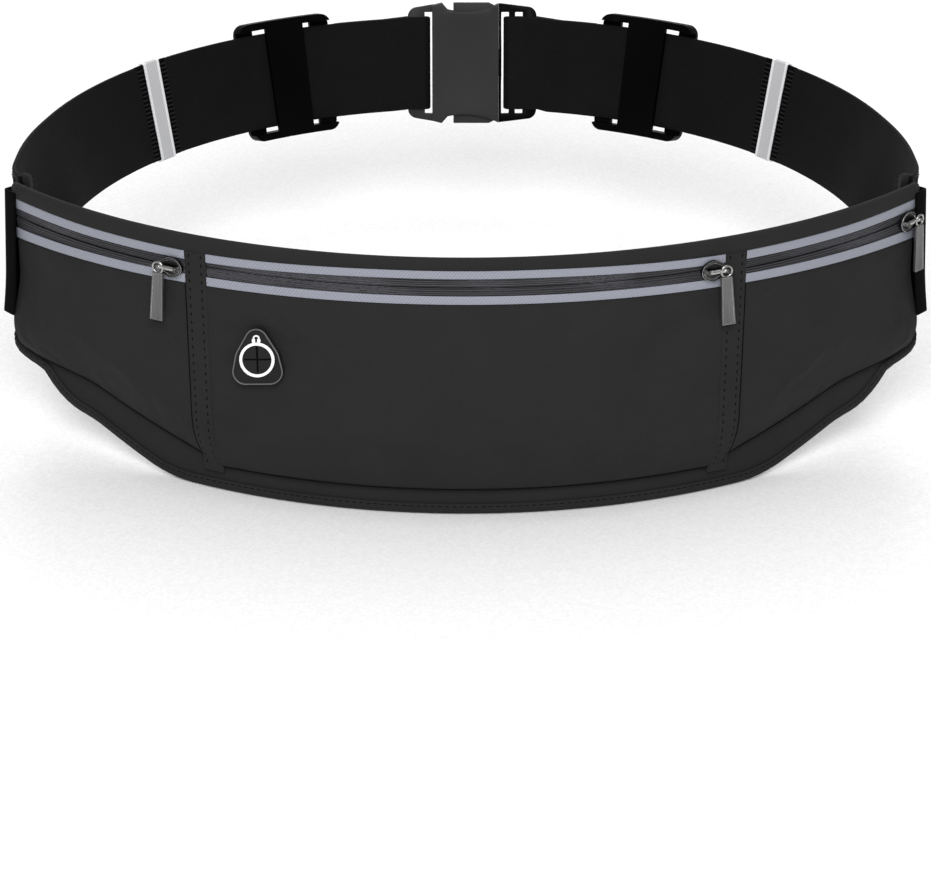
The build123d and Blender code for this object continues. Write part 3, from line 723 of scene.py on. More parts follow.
def woven(name, colour, across, along, depth, roughness, sheen, contrast=1.35, mottle=0.10):
    """Woven or knitted cloth: threads at a real spacing, a soft sheen and slow changes of shade."""
    material, tree, shader = fresh(name, roughness, Sheen_Weight=sheen, Sheen_Roughness=0.5,
                                   Specular_IOR_Level=0.06)
    height = thread_relief(tree, across, along)
    cloud = add(tree, "ShaderNodeTexNoise", {"Vector": flat_place(tree, 35, 35), "Scale": 1.0,
                                             "Detail": 3.0, "Roughness": 0.6})
    shade = add(tree, "ShaderNodeMapRange", {"Value": cloud.outputs["Fac"], "From Min": 0.3, "From Max": 0.7,
                                             "To Min": 1 - mottle, "To Max": 1 + mottle})
    threads = two_colours(tree, height, tinted(colour, 1 / contrast), tinted(colour, contrast), 0.0, 0.8)
    mixed = add(tree, "ShaderNodeVectorMath", {0: threads, "Scale": shade.outputs["Result"]}, operation="SCALE")
    tree.links.new(mixed.outputs["Vector"], shader.inputs["Base Color"])
    relief(tree, shader, height, 0.5, depth)
    return material


def moulded(name, colour, roughness, grain, depth, edge_lightening=1.5, gloss=0.15):
    """Injection-moulded plastic: a spark-eroded grain, and a colour a little lighter along sharp convex edges.
    """
    material, tree, shader = fresh(name, roughness, Specular_IOR_Level=gloss)
    texture = add(tree, "ShaderNodeTexNoise", {"Vector": solid_place(tree, (1 / grain,) * 3), "Scale": 1.0,
                                               "Detail": 2.0})
    edges = add(tree, "ShaderNodeNewGeometry").outputs["Pointiness"]
    edge_tone = two_colours(tree, edges, tinted(colour, 1.0), tinted(colour, edge_lightening), 0.50, 0.58)
    tree.links.new(edge_tone, shader.inputs["Base Color"])
    relief(tree, shader, texture.outputs["Fac"], 0.35, depth)
    return material


EVEN_SCRATCH = (900, 900, 900)      # scratches per metre along x, y and z
BRUSHED_DOWN = (2600, 2600, 120)


def metal(name, colour, roughness, scratch):
    """Plated zinc die casting, with fine scratches that run along the piece."""
    material, tree, shader = fresh(name, roughness, Metallic=1.0)
    lines = add(tree, "ShaderNodeTexNoise", {"Vector": solid_place(tree, scratch), "Scale": 1.0, "Detail": 4.0})
    tone = two_colours(tree, lines.outputs["Fac"], tinted(colour, 0.82), tinted(colour, 1.18))
    tree.links.new(tone, shader.inputs["Base Color"])
    dull = add(tree, "ShaderNodeMapRange", {"Value": lines.outputs["Fac"], "From Min": 0.3, "From Max": 0.7,
                                            "To Min": roughness - 0.06, "To Max": roughness + 0.1})
    tree.links.new(dull.outputs["Result"], shader.inputs["Roughness"])
    relief(tree, shader, lines.outputs["Fac"], 0.15, 0.05 * MM)
    return material


def zip_tape_material(name, colour):
    """Polyester zipper tape: fine ribs along it, and a coil that shows through as slanted ridges. The colour
    lightens up to 3.4 times on the rib and braid crests, partly the weave's tone and partly painted glints.
    """
    material, tree, shader = fresh(name, 0.5, Specular_IOR_Level=0.35)
    ribs = add(tree, "ShaderNodeTexWave", {"Vector": flat_place(tree, 1 / MM, 1 / MM), "Scale": 0.38,
                                           "Distortion": 1.2, "Detail": 2.0, "Detail Scale": 0.4},
               wave_type="BANDS", bands_direction="Y")
    glint_and_braid_patches = add(tree, "ShaderNodeTexNoise", {"Vector": flat_place(tree, 22, 60), "Scale": 1.0,
                                               "Detail": 1.0})
    rough = add(tree, "ShaderNodeMapRange", {"Value": glint_and_braid_patches.outputs["Fac"], "From Min": 0.47, "From Max": 0.6})
    crumple = add(tree, "ShaderNodeTexVoronoi", {"Vector": flat_place(tree, 0.62 / MM, 0.95 / MM, 0.5),
                                                 "Scale": 1.0, "Randomness": 0.7}, feature="F1")
    braid = add(tree, "ShaderNodeMath", {0: crumple.outputs["Distance"], 1: rough.outputs["Result"]},
                operation="MULTIPLY")
    height = add(tree, "ShaderNodeMath", {0: ribs.outputs["Fac"], 1: braid.outputs["Value"]}, operation="ADD")
    # painted glints: the braid, and less the ribs, lift the colour
    level = add(tree, "ShaderNodeMath", {0: braid.outputs["Value"], 1: 1.6}, operation="MULTIPLY")
    level = add(tree, "ShaderNodeMath", {0: level.outputs["Value"], 1: ribs.outputs["Fac"]}, operation="ADD")
    tone = two_colours(tree, level.outputs["Value"], tinted(colour, 0.3), tinted(colour, 3.4), 0.1, 2.6)
    tree.links.new(tone, shader.inputs["Base Color"])
    relief(tree, shader, height.outputs["Value"], 1.0, 0.45 * MM)
    return material


def reflective_material(name, colour):
    """Glass-bead film on a twill backing: pale, satin, with fine slanting lines."""
    material, tree, shader = fresh(name, 0.42, Specular_IOR_Level=0.3)
    twill = add(tree, "ShaderNodeTexWave", {"Vector": flat_place(tree, 1 / MM, 1 / MM, radians(38)),
                                            "Scale": 0.33, "Distortion": 0.5}, bands_direction="X")
    tone = two_colours(tree, twill.outputs["Fac"], tinted(colour, 0.88), tinted(colour, 1.08), 0.1, 0.9)
    tree.links.new(tone, shader.inputs["Base Color"])
    relief(tree, shader, twill.outputs["Fac"], 0.3, 0.1 * MM)
    return material


def mesh_lining_material(name, colour):
    """Spacer mesh against the wearer: rows of small holes, 3 mm apart."""
    material, tree, shader = fresh(name, 0.8, Specular_IOR_Level=0.05)
    holes = add(tree, "ShaderNodeTexVoronoi", {"Vector": flat_place(tree, 1 / (3 * MM), 1 / (3 * MM)),
                                               "Scale": 1.0, "Randomness": 0.0}, feature="F1")
    tone = two_colours(tree, holes.outputs["Distance"], tinted(colour, 0.25), tinted(colour, 1.2), 0.16, 0.3)
    tree.links.new(tone, shader.inputs["Base Color"])
    relief(tree, shader, holes.outputs["Distance"], 0.8, MM)
    return material


def plain(name, colour, roughness, grain=2500):
    """Print, thread, floor: one colour with a fine grain in its shade."""
    material, tree, shader = fresh(name, roughness, Specular_IOR_Level=0.05)
    speck = add(tree, "ShaderNodeTexNoise", {"Vector": solid_place(tree, (grain,) * 3), "Scale": 1.0,
                                             "Detail": 2.0})
    tone = two_colours(tree, speck.outputs["Fac"], tinted(colour, 0.94), tinted(colour, 1.04))
    tree.links.new(tone, shader.inputs["Base Color"])
    return material


FINISH_NAMES = {}


def finishes(colours):
    """Every material of the pack, made once."""
    if "jersey_on_neoprene_pressed" in bpy.data.materials:
        return {key: bpy.data.materials[name] for key, name in FINISH_NAMES.items()}
    made = {
        # stretch jersey bonded to thin foam: smooth, matt, hardly any grain at arm's length
        "fabric": woven("jersey_on_neoprene_pressed", colours.fabric, 0.9 * MM, 0.9 * MM, 0.10 * MM,
                        0.82, 0.02, contrast=1.06, mottle=0.06),
        # end tape: black grosgrain with ribs across it
        "end_tape": woven("polyester_grosgrain", colours.end_tape, 1.1 * MM, 2.2 * MM, 0.25 * MM,
                          0.75, 0.0, contrast=1.3),
        # elastic: rubber core covered in polyester, ribs across the width, a dry surface
        "webbing": woven("polyester_elastic_woven", colours.webbing, 1.1 * MM, 1.6 * MM, 0.22 * MM,
                         0.72, 0.02, contrast=1.22, mottle=0.12),
        # spacer mesh: rows of holes over soft foam
        "lining": mesh_lining_material("polyester_spacer_mesh", colours.lining),
        # coated zipper tape, crumpled where the coil pushes against it and with painted glints on its crests,
        # over a nylon coil
        "zip_tape": zip_tape_material("polyester_zipper_tape", colours.zip_tape),
        "zip_coil": moulded("nylon_coil_drawn", colours.zip_tape, 0.4, 0.3 * MM, 0.05 * MM),
        # glass beads on twill: satin, with the bands' folded edges painted 1.5 times lighter as painted
        # highlight
        "reflective": reflective_material("glass_bead_film_on_twill", colours.reflective),
        "band": reflective_material("glass_bead_film_band", colours.band),
        "band_edge": reflective_material("glass_bead_film_edge", tinted(colours.band, 1.5)),
        # zinc die castings: dark plating and a brushed grey tab; the pale grey on the sliders' and pulls'
        # bevelled rims and on the pull rings is painted highlight, and the bridge bars are painted lighter still
        # as painted highlight
        "slider": metal("zinc_alloy_gunmetal_plated", colours.slider, 0.32, EVEN_SCRATCH),
        # the bridge bar's pale colour is a painted highlight on the dark plating
        "bar": metal("zinc_alloy_bar_polished", tinted(colours.bright, 1.4), 0.35, EVEN_SCRATCH),
        "slider_edge": metal("zinc_alloy_rubbed_bright", colours.bright, 0.25, EVEN_SCRATCH),
        "pull": metal("zinc_alloy_brushed_grey", colours.pull, 0.5, BRUSHED_DOWN),
        # soft rubber, the raised rim's top painted nine times lighter as painted highlight, and a white print on
        # it
        "rubber": moulded("tpr_rubber_moulded", colours.rubber, 0.6, 0.35 * MM, 0.04 * MM, 1.3),
        "rubber_rim": moulded("tpr_rubber_polished_rim", tinted(colours.rubber, 9.0), 0.4, 0.35 * MM,
                              0.02 * MM),
        "print": plain("silicone_print_white", colours.print_white, 0.5),
        # acetal with a fine moulded grain, black for the frames and charcoal for the body
        "acetal": moulded("acetal_moulded_black", colours.acetal, 0.42, 0.45 * MM, 0.05 * MM, 1.6, 0.05),
        "buckle": moulded("acetal_moulded_charcoal", colours.buckle, 0.5, 0.5 * MM, 0.05 * MM, 1.35),
        # bonded sewing thread, black; on the bar tacks the black thread is painted grey as painted highlight
        "thread": plain("polyester_thread_bonded", colours.thread, 0.6),
        "tack": plain("polyester_thread_grey", tinted(colours.webbing, 3.6), 0.6),
    }
    FINISH_NAMES.update({key: material.name for key, material in made.items()})
    return made


# ---------------------------------------------------------------- properties
def length_property(name, description, default):
    return FloatProperty(name=name, description=description, default=default, min=0.0, unit="LENGTH")


def colour_property(name, description, code):
    return FloatVectorProperty(name=name, description=description, default=linear(code), subtype="COLOR",
                               size=3, min=0.0, max=1.0)


class WaistPackSizes(bpy.types.PropertyGroup):
    """Sizes that a maker may change without touching the frame."""
    stitch_pitch: length_property("Stitch pitch", "From one stitch to the next", 3.2 * MM)
    stitch_length: length_property("Stitch length", "Visible length of one stitch", 1.2 * MM)
    thread_width: length_property("Thread", "Width of the sewing thread", 0.55 * MM)
    seam_margin: length_property("Seam margin", "From a divider's edge to its stitches", 1.9 * MM)
    hem_width: length_property("Hem width", "Height of the folded hem on the front", 4.5 * MM)
    pocket_give: length_property("Pocket give", "How far a pocket front may settle", 1.2 * MM)


class WaistPackColours(bpy.types.PropertyGroup):
    """Colours of the pack's materials."""
    fabric: colour_property("Fabric", "Pocket fronts, dividers, top band and hem", "#262626")
    lining: colour_property("Lining", "Mesh against the wearer", "#121213")
    zip_tape: colour_property("Zipper tape", "Tapes and coils", "#222225")
    reflective: colour_property("Stripes", "Reflective stripes along the zippers", "#878994")
    band: colour_property("Bands", "Reflective bands round the belt", "#bdbdbf")
    end_tape: colour_property("End tape", "Tape where the belt is sewn on", "#020202")
    webbing: colour_property("Webbing", "Elastic belt", "#101011")
    thread: colour_property("Thread", "Sewing thread", "#070707")
    acetal: colour_property("Adjusters", "Adjusters and buckle frame", "#020202")
    buckle: colour_property("Buckle", "Buckle body and prongs", "#282829")
    slider: colour_property("Sliders", "Plated zipper sliders", "#3a3a3b")
    # painted highlight: this pale grey colours the sliders' and pulls' bevelled rims and the pull rings, and 1.4
    # times lighter the bridge bars
    bright: colour_property("Bright edges", "Rubbed edges of the sliders", "#a2a2a0")
    pull: colour_property("Pulls", "Zipper pulls", "#727272")
    rubber: colour_property("Rubber", "Headphone port", "#1a1a1a")
    print_white: colour_property("Print", "Ring and mark on the port", "#f2f2f2")
    floor: colour_property("Floor", "Studio floor", "#f4f4f4")


class WaistPackSettings(bpy.types.PropertyGroup):
    """All settings of the waist pack."""
    sizes: PointerProperty(type=WaistPackSizes)
    colours: PointerProperty(type=WaistPackColours)


# ---------------------------------------------------------------- operators
class WAISTPACK_OT_stage(bpy.types.Operator):
    """Floor, soft studio light and the camera"""
    bl_idname = "waistpack.stage"
    bl_label = "Stage"

    def execute(self, context):
        scene = context.scene
        colours = scene.waist_pack.colours
        bpy.ops.object.select_all(action="DESELECT")
        bpy.ops.mesh.primitive_plane_add(size=6, location=(0, 0, BOTTOM_Z - 0.3 * MM))
        floor = named("floor")
        paint(floor, plain("studio_floor_painted", colours.floor, 0.9, 900))
        floor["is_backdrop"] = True

        world = bpy.data.worlds.new("soft_studio")
        world.use_nodes = True
        world.node_tree.nodes["Background"].inputs["Color"].default_value = opaque(linear("#ffffff"))
        world.node_tree.nodes["Background"].inputs["Strength"].default_value = 0.26
        scene.world = world
        for name, place_at, aim, size, power in (
            ("key_light", (-0.06, -1.3, 0.95), (0, -0.1, 0), 0.8, 22),
            ("top_light", (0.1, 0.2, 1.6), (0, 0.2, 0), 1.6, 11),
            ("floor_light", (0, 1.5, 1.0), (0, 0.5, BOTTOM_Z), 1.2, 16),
        ):
            light = bpy.data.lights.new(name, "AREA")
            light.shape = "SQUARE"
            light.size = size
            light.energy = power
            lamp = bpy.data.objects.new(name, light)
            lamp.location = place_at
            lamp.rotation_euler = (Vector(aim) - lamp.location).to_track_quat("-Z", "Y").to_euler()
            scene.collection.objects.link(lamp)

        # The eye is 1 m from the middle of the front, 22 degrees up, and looks a little below it.
        target = Vector((0, -72 * MM, 0))
        elevation, dip = radians(22.0), radians(4.13)
        eye = target + Vector((0, -cos(elevation), sin(elevation)))
        camera = bpy.data.cameras.new("camera")
        camera.lens = 104.75
        camera.sensor_width = 36.0
        camera_object = bpy.data.objects.new("camera", camera)
        camera_object.location = eye
        look = Vector((0, cos(elevation + dip), -sin(elevation + dip)))
        camera_object.rotation_euler = look.to_track_quat("-Z", "Y").to_euler()
        scene.collection.objects.link(camera_object)
        scene.camera = camera_object
        scene.view_settings.view_transform = "Standard"
        return {"FINISHED"}


class WAISTPACK_OT_back_panel(bpy.types.Operator):
    """Padded back panel with its mesh lining and folded hem"""
    bl_idname = "waistpack.back_panel"
    bl_label = "Back panel"

    def execute(self, context):
        sizes, colours = context.scene.waist_pack.sizes, context.scene.waist_pack.colours
        finish = finishes(colours)
        margin = 1.2 * MM

        def corner(u):
            """How much the rounded corners take off the panel's height near its ends."""
            left = max(0.0, FLAP_CORNER_R - (PANEL_HALF - margin - abs(u)))
            return FLAP_CORNER_R - sqrt(max(0.0, FLAP_CORNER_R**2 - left**2))

        half = PANEL_HALF - margin
        columns = even(-half, half, 2.5 * MM)
        tip = [half - d * MM for d in (0, 0.15, 0.5, 1.2)]
        columns = [-u for u in tip] + columns[1:-1] + tip[::-1]
        columns.sort()
        top = lambda u: (TOP_Z - margin / 2 - corner(u) - FLAP_DROP * ease(abs(u), PANEL_TURN, PANEL_BEND_END)
                         - 2.6 * MM * (1 - ease(abs(u), 0.93 * PANEL_TURN, PANEL_TURN)))
        panel = slab("back_panel_foam", (-half, half), lambda u: panel_bottom(u) + margin + corner(u),
                     top, on_panel, PANEL_THICKNESS, rows=34, columns=columns, level=panel_lean)
        paint(panel, finish["fabric"], finish["lining"])
        for polygon in panel.data.polygons:
            x, y, z = polygon.center
            inside = Vector((0, y if abs(x) > 150 * MM else FRONT_AXIS_Y, z))
            polygon.material_index = 1 if polygon.normal.dot(polygon.center - inside) < 0 else 0
        fit(panel, "pack", "neoprene", "back_panel")

        # The hem folds over the bottom edge and both rounded ends.
        corner_u = PANEL_HALF - FLAP_CORNER_R
        low_v = panel_bottom(PANEL_HALF) + FLAP_CORNER_R
        high_v = TOP_Z - FLAP_DROP - FLAP_CORNER_R
        line = arc((-corner_u, high_v), FLAP_CORNER_R, 90, 180, 8)
        line += arc((-corner_u, low_v), FLAP_CORNER_R, 180, 270, 8)
        line += [(u, panel_bottom(u)) for u in even(-corner_u + 3 * MM, corner_u - 3 * MM, 3 * MM)]
        line += arc((corner_u, low_v), FLAP_CORNER_R, 270, 360, 8)
        line += arc((corner_u, high_v), FLAP_CORNER_R, 0, 90, 8)
        edge = [Vector(point) for point in line]
        distances = [0.0]
        for a, b in zip(edge, edge[1:]):
            distances.append(distances[-1] + (b - a).length)
        inward = []
        for i in range(len(edge)):
            run = (edge[min(len(edge) - 1, i + 1)] - edge[max(0, i - 1)]).normalized()
            inward.append(Vector((-run.y, run.x)))

        def on_edge(u, v, out=0.0):
            """Point a distance v in from the panel's edge, u along the edge."""
            i = min(max(bisect_right(distances, u) - 1, 0), len(edge) - 2)
            share = (u - distances[i]) / (distances[i + 1] - distances[i])
            flat = edge[i].lerp(edge[i + 1], share) + inward[i].lerp(inward[i + 1], share).normalized() * v
            return on_panel(flat.x, flat.y, out)

        fold_r = PANEL_THICKNESS / 2 + 0.5 * MM
        fold = [(sizes.hem_width, 0.45 * MM), (sizes.hem_width * 0.6, 0.55 * MM)]
        fold += arc((fold_r + 0.3 * MM, -PANEL_THICKNESS / 2), fold_r, 90, 270, 8)
        fold += [(sizes.hem_width * 0.6, -PANEL_THICKNESS - 0.5 * MM),
                 (sizes.hem_width, -PANEL_THICKNESS - 0.45 * MM)]
        hem = sweep("hem_folded_tape", distances, folded_strip(fold, 0.9 * MM), on_edge)
        paint(hem, finish["fabric"], finish["webbing"])
        for polygon in hem.data.polygons:       # black tape on the end flaps
            polygon.material_index = 1 if polygon.center.y > FLAP_BEND_Y + 4 * MM else 0
        fit(hem, "pack", "binding", "hem_binding")
        seam_v = sizes.hem_width - 1.1 * MM
        rows = [[(u, seam_v) for u in distances]]
        stitches = sew("hem_stitches", rows, on_edge, 0.95 * MM, 2.6 * MM, 1.6 * MM, 0.4 * MM, 0.5)
        paint(stitches, finish["thread"])
        fit(stitches, "pack", "binding")
        return {"FINISHED"}


class WAISTPACK_OT_pockets(bpy.types.Operator):
    """Pocket fronts, dividers, top band and end tapes"""
    bl_idname = "waistpack.pockets"
    bl_label = "Pockets"

    def front(self, name, span, low, settings, finish):
        """One pocket front: a cut of jersey that rolls in to its seam and settles a little."""
        start, end = span
        under = 0.6 * MM        # the top edge tucks under the zipper tape
        columns = even(start, end, 2.0 * MM)
        rows = 40
        points, flat = [], []
        for u in columns:
            bottom, top = low(u), zip_low(u) + 1.0 * MM
            for j in range(rows + 1):
                v = bottom + (top - bottom) * j / rows
                level = roll_in(v - bottom)
                tuck = min(1.0, max(0.0, (v - zip_low(u) + 2.5 * MM) / (2.5 * MM)))
                points.append(on_front(u, v, level - under * tuck * tuck - 0.1 * MM))
                flat.append((u, v))
        piece = mesh_piece(name, points, grid_faces(len(columns), rows + 1), flat)
        count = len(columns)
        held = [i * (rows + 1) + j for i in range(count) for j in range(rows + 1)
                if i in (0, count - 1) or j in (0, rows)]
        settle(piece, held, 3.0, settings.sizes.pocket_give)
        modify(piece, "SUBSURF", levels=1, render_levels=1)
        modify(piece, "SOLIDIFY", thickness=FABRIC - 0.1 * MM, offset=-1.0, use_rim=True)
        paint(piece, finish["fabric"])
        return piece

    def execute(self, context):
        settings = context.scene.waist_pack
        sizes = settings.sizes
        finish = finishes(settings.colours)
        tuck = 1.0 * MM

        centre = self.front("centre_pocket_front", (-POCKET_SPLIT - tuck, POCKET_SPLIT + tuck),
                            lambda u: CENTRE_SEAM_Z, settings, finish)
        fit(centre, "pack", "pocket_fabric", "centre_pocket")
        for name, side in SIDES.items():
            span = sorted((side * (DIVIDER_END - tuck), side * ZIP_END))
            pocket = self.front(f"{name}_pocket_front", span, side_seam, settings, finish)
            fit(pocket, "pack", "pocket_fabric", f"{name}_pocket")

            # divider between two pockets, with its two rows of stitches
            span = sorted((side * POCKET_SPLIT, side * DIVIDER_END))
            divider = slab(f"{name}_divider_strip", span, lambda u: CENTRE_SEAM_Z - 2.5 * MM,
                           lambda u: DIVIDER_TOP_Z + 0.5 * MM, on_front, 1.3 * MM, step=1.5 * MM,
                           level=divider_level)
            paint(divider, finish["fabric"])
            fit(divider, "pack", "pocket_fabric", f"{name}_divider")
            lines = [side * (POCKET_SPLIT + sizes.seam_margin), side * (DIVIDER_END - sizes.seam_margin)]
            ends = CENTRE_SEAM_Z + 1.5 * MM, DIVIDER_TOP_Z - 2 * MM
            rows = [[(u, v) for v in even(*ends, 4 * MM)] for u in lines]
            stitches = sew(f"{name}_divider_stitches", rows, on_front, divider_level, sizes.stitch_pitch,
                           sizes.stitch_length, sizes.thread_width, 0.5)
            paint(stitches, finish["thread"])
            fit(stitches, "pack", "binding")

            # end tape: a folded strip that closes the pocket's end over the sewn belt
            depth = PANEL_TO_FRONT - 0.4 * MM
            line = [(ZIP_END - 2.6 * MM, 0.9 * MM), (ZIP_END + 3.0 * MM, 0.8 * MM)]
            line += arc((ZIP_END + 3.0 * MM, -0.8 * MM), 1.6 * MM, 90, 0, 5)
            line += [(ZIP_END + 4.6 * MM, -depth + 2 * MM), (ZIP_END + 5.2 * MM, -depth + 0.6 * MM),
                     (ZIP_END + 7.5 * MM, -depth)]
            low_z, high_z = END_TAPE_Z
            columns = spread(low_z, high_z, 16, 0.5 * MM)
            stand = lambda z: 0.3 * MM + 0.75 * max(0.0, flare(1.0, low_z) * (high_z - z) / (high_z - low_z)
                                                    - flare(1.0, z))      # the tape runs straight down
            tape = sweep(f"{name}_end_tape_folded", columns, folded_strip(line, 1.0 * MM),
                         lambda z, u, out: on_front(side * u, z, out + stand(z)))
            paint(tape, finish["end_tape"])
            fit(tape, "pack", "binding", f"{name}_end_tape")

        # thin dark lines of thread colour along each pocket's bottom seam and beside each divider: painted
        # shadow of the seam's crease and of the divider's fold
        line_in = 0.4 * MM
        shadow_lines = [([[(u, CENTRE_SEAM_Z + line_in) for u in even(-POCKET_SPLIT, POCKET_SPLIT, 4 * MM)]],
                  lambda u, v: roll_in(v - CENTRE_SEAM_Z) + 0.05 * MM)]
        for side in SIDES.values():
            along = [(side * u, side_seam(u) + line_in) for u in even(DIVIDER_END, ZIP_END, 4 * MM)]
            beside = side * (DIVIDER_END + 0.1 * MM)
            rise = [(beside, v) for v in even(side_seam(DIVIDER_END), zip_low(DIVIDER_END), 4 * MM)]
            shadow_lines.append(([along, rise], lambda u, v: roll_in(v - side_seam(u)) + 0.1 * MM))
        lines = [sew("seam", rows, on_front, level, 1.5 * MM, 2.2 * MM, 0.45 * MM) for rows, level in shadow_lines]
        lines = joined("pocket_seam_lines", lines)
        paint(lines, finish["thread"])
        fit(lines, "pack", "binding")

        seam = zip_high(0)
        over = [(seam, 0.3 * MM), (seam + 1.8 * MM, 0.4 * MM)]
        over += arc((TOP_Z - 2.3 * MM, -0.85 * MM), 1.25 * MM, 90, -50, 8)
        over += [(TOP_Z - 3.3 * MM, -4.0 * MM), (TOP_Z - 4.5 * MM, -6.3 * MM), (TOP_Z - 7.0 * MM, -8.2 * MM)]

        def on_band(u, v, out):
            """The band's lower edge follows the zippers' upper stripes."""
            return on_front(u, v + (zip_high(u) - seam) * (1 - ease(v, seam, TOP_Z - 1.5 * MM)), out)

        band = sweep("top_band_folded", even(-ZIP_END, ZIP_END, 2.5 * MM), folded_strip(over, 0.9 * MM), on_band)
        paint(band, finish["fabric"])
        fit(band, "pack", "pocket_fabric", "top_binding")
        return {"FINISHED"}


class WAISTPACK_OT_zippers(bpy.types.Operator):
    """Zipper tapes, reflective stripes and the coils behind them"""
    bl_idname = "waistpack.zippers"
    bl_label = "Zippers"

    def execute(self, context):
        finish = finishes(context.scene.waist_pack.colours)
        spans = {"left": (-ZIP_END, -DIVIDER_END), "centre": (-POCKET_SPLIT, POCKET_SPLIT),
                 "right": (DIVIDER_END, ZIP_END)}
        ridge_at, ridge = 1.5 * MM, 0.35 * MM

        def tape_level(u, v):
            """The tape swells over the coil behind it and dips at the seam."""
            seam = ZIP_Z["centre" if abs(u) < DIVIDER_END else "left"]
            from_seam = abs(v - seam) - 0.5 * MM
            swell = max(0.0, 1 - abs(from_seam - ridge_at) / (1.4 * MM))
            rough = noise.noise(Vector((u * 60, 0.3, 0))) * 0.5 + 0.5
            teeth = noise.noise(Vector((u * 900, v * 900, 4.0))) * 0.18 * MM * rough
            return ridge * swell * swell * (3 - 2 * swell) + teeth - 0.2 * MM

        for name, span in spans.items():
            middle_low = lambda u: SEAM_LOW_Z[name] + 0.35 * MM
            middle_high = lambda u: SEAM_HIGH_Z[name] - 0.35 * MM
            for half, low, high in (("upper", middle_high, zip_high), ("lower", zip_low, middle_low)):
                tape = slab(f"{name}_zip_{half}_tape_cloth", span, low, high, on_front,
                            0.8 * MM, step=0.6 * MM, level=tape_level, rows=12)
                paint(tape, finish["zip_tape"])
                fit(tape, "pack", "zip_tape", f"{name}_zip_{half}_tape")
            proud = lambda u, v: 0.35 * MM
            stripes = joined(f"{name}_reflective_stripe_pair", [
                slab("stripe", span, zip_low, lambda u: zip_low(u) + stripe_width(u), on_front, 0.5 * MM,
                     step=2 * MM, level=proud, rows=3),
                slab("stripe", span, lambda u: zip_high(u) - stripe_width(u), zip_high, on_front, 0.5 * MM,
                     step=2 * MM, level=proud, rows=3),
            ])
            paint(stripes, finish["reflective"])
            fit(stripes, "pack", "reflective", f"{name}_reflective_stripes")
            paint(frame["nodes"][f"{name}_zip_coils"], finish["zip_coil"])
        paint(frame["nodes"]["zip_stops"], finish["slider"])
        return {"FINISHED"}


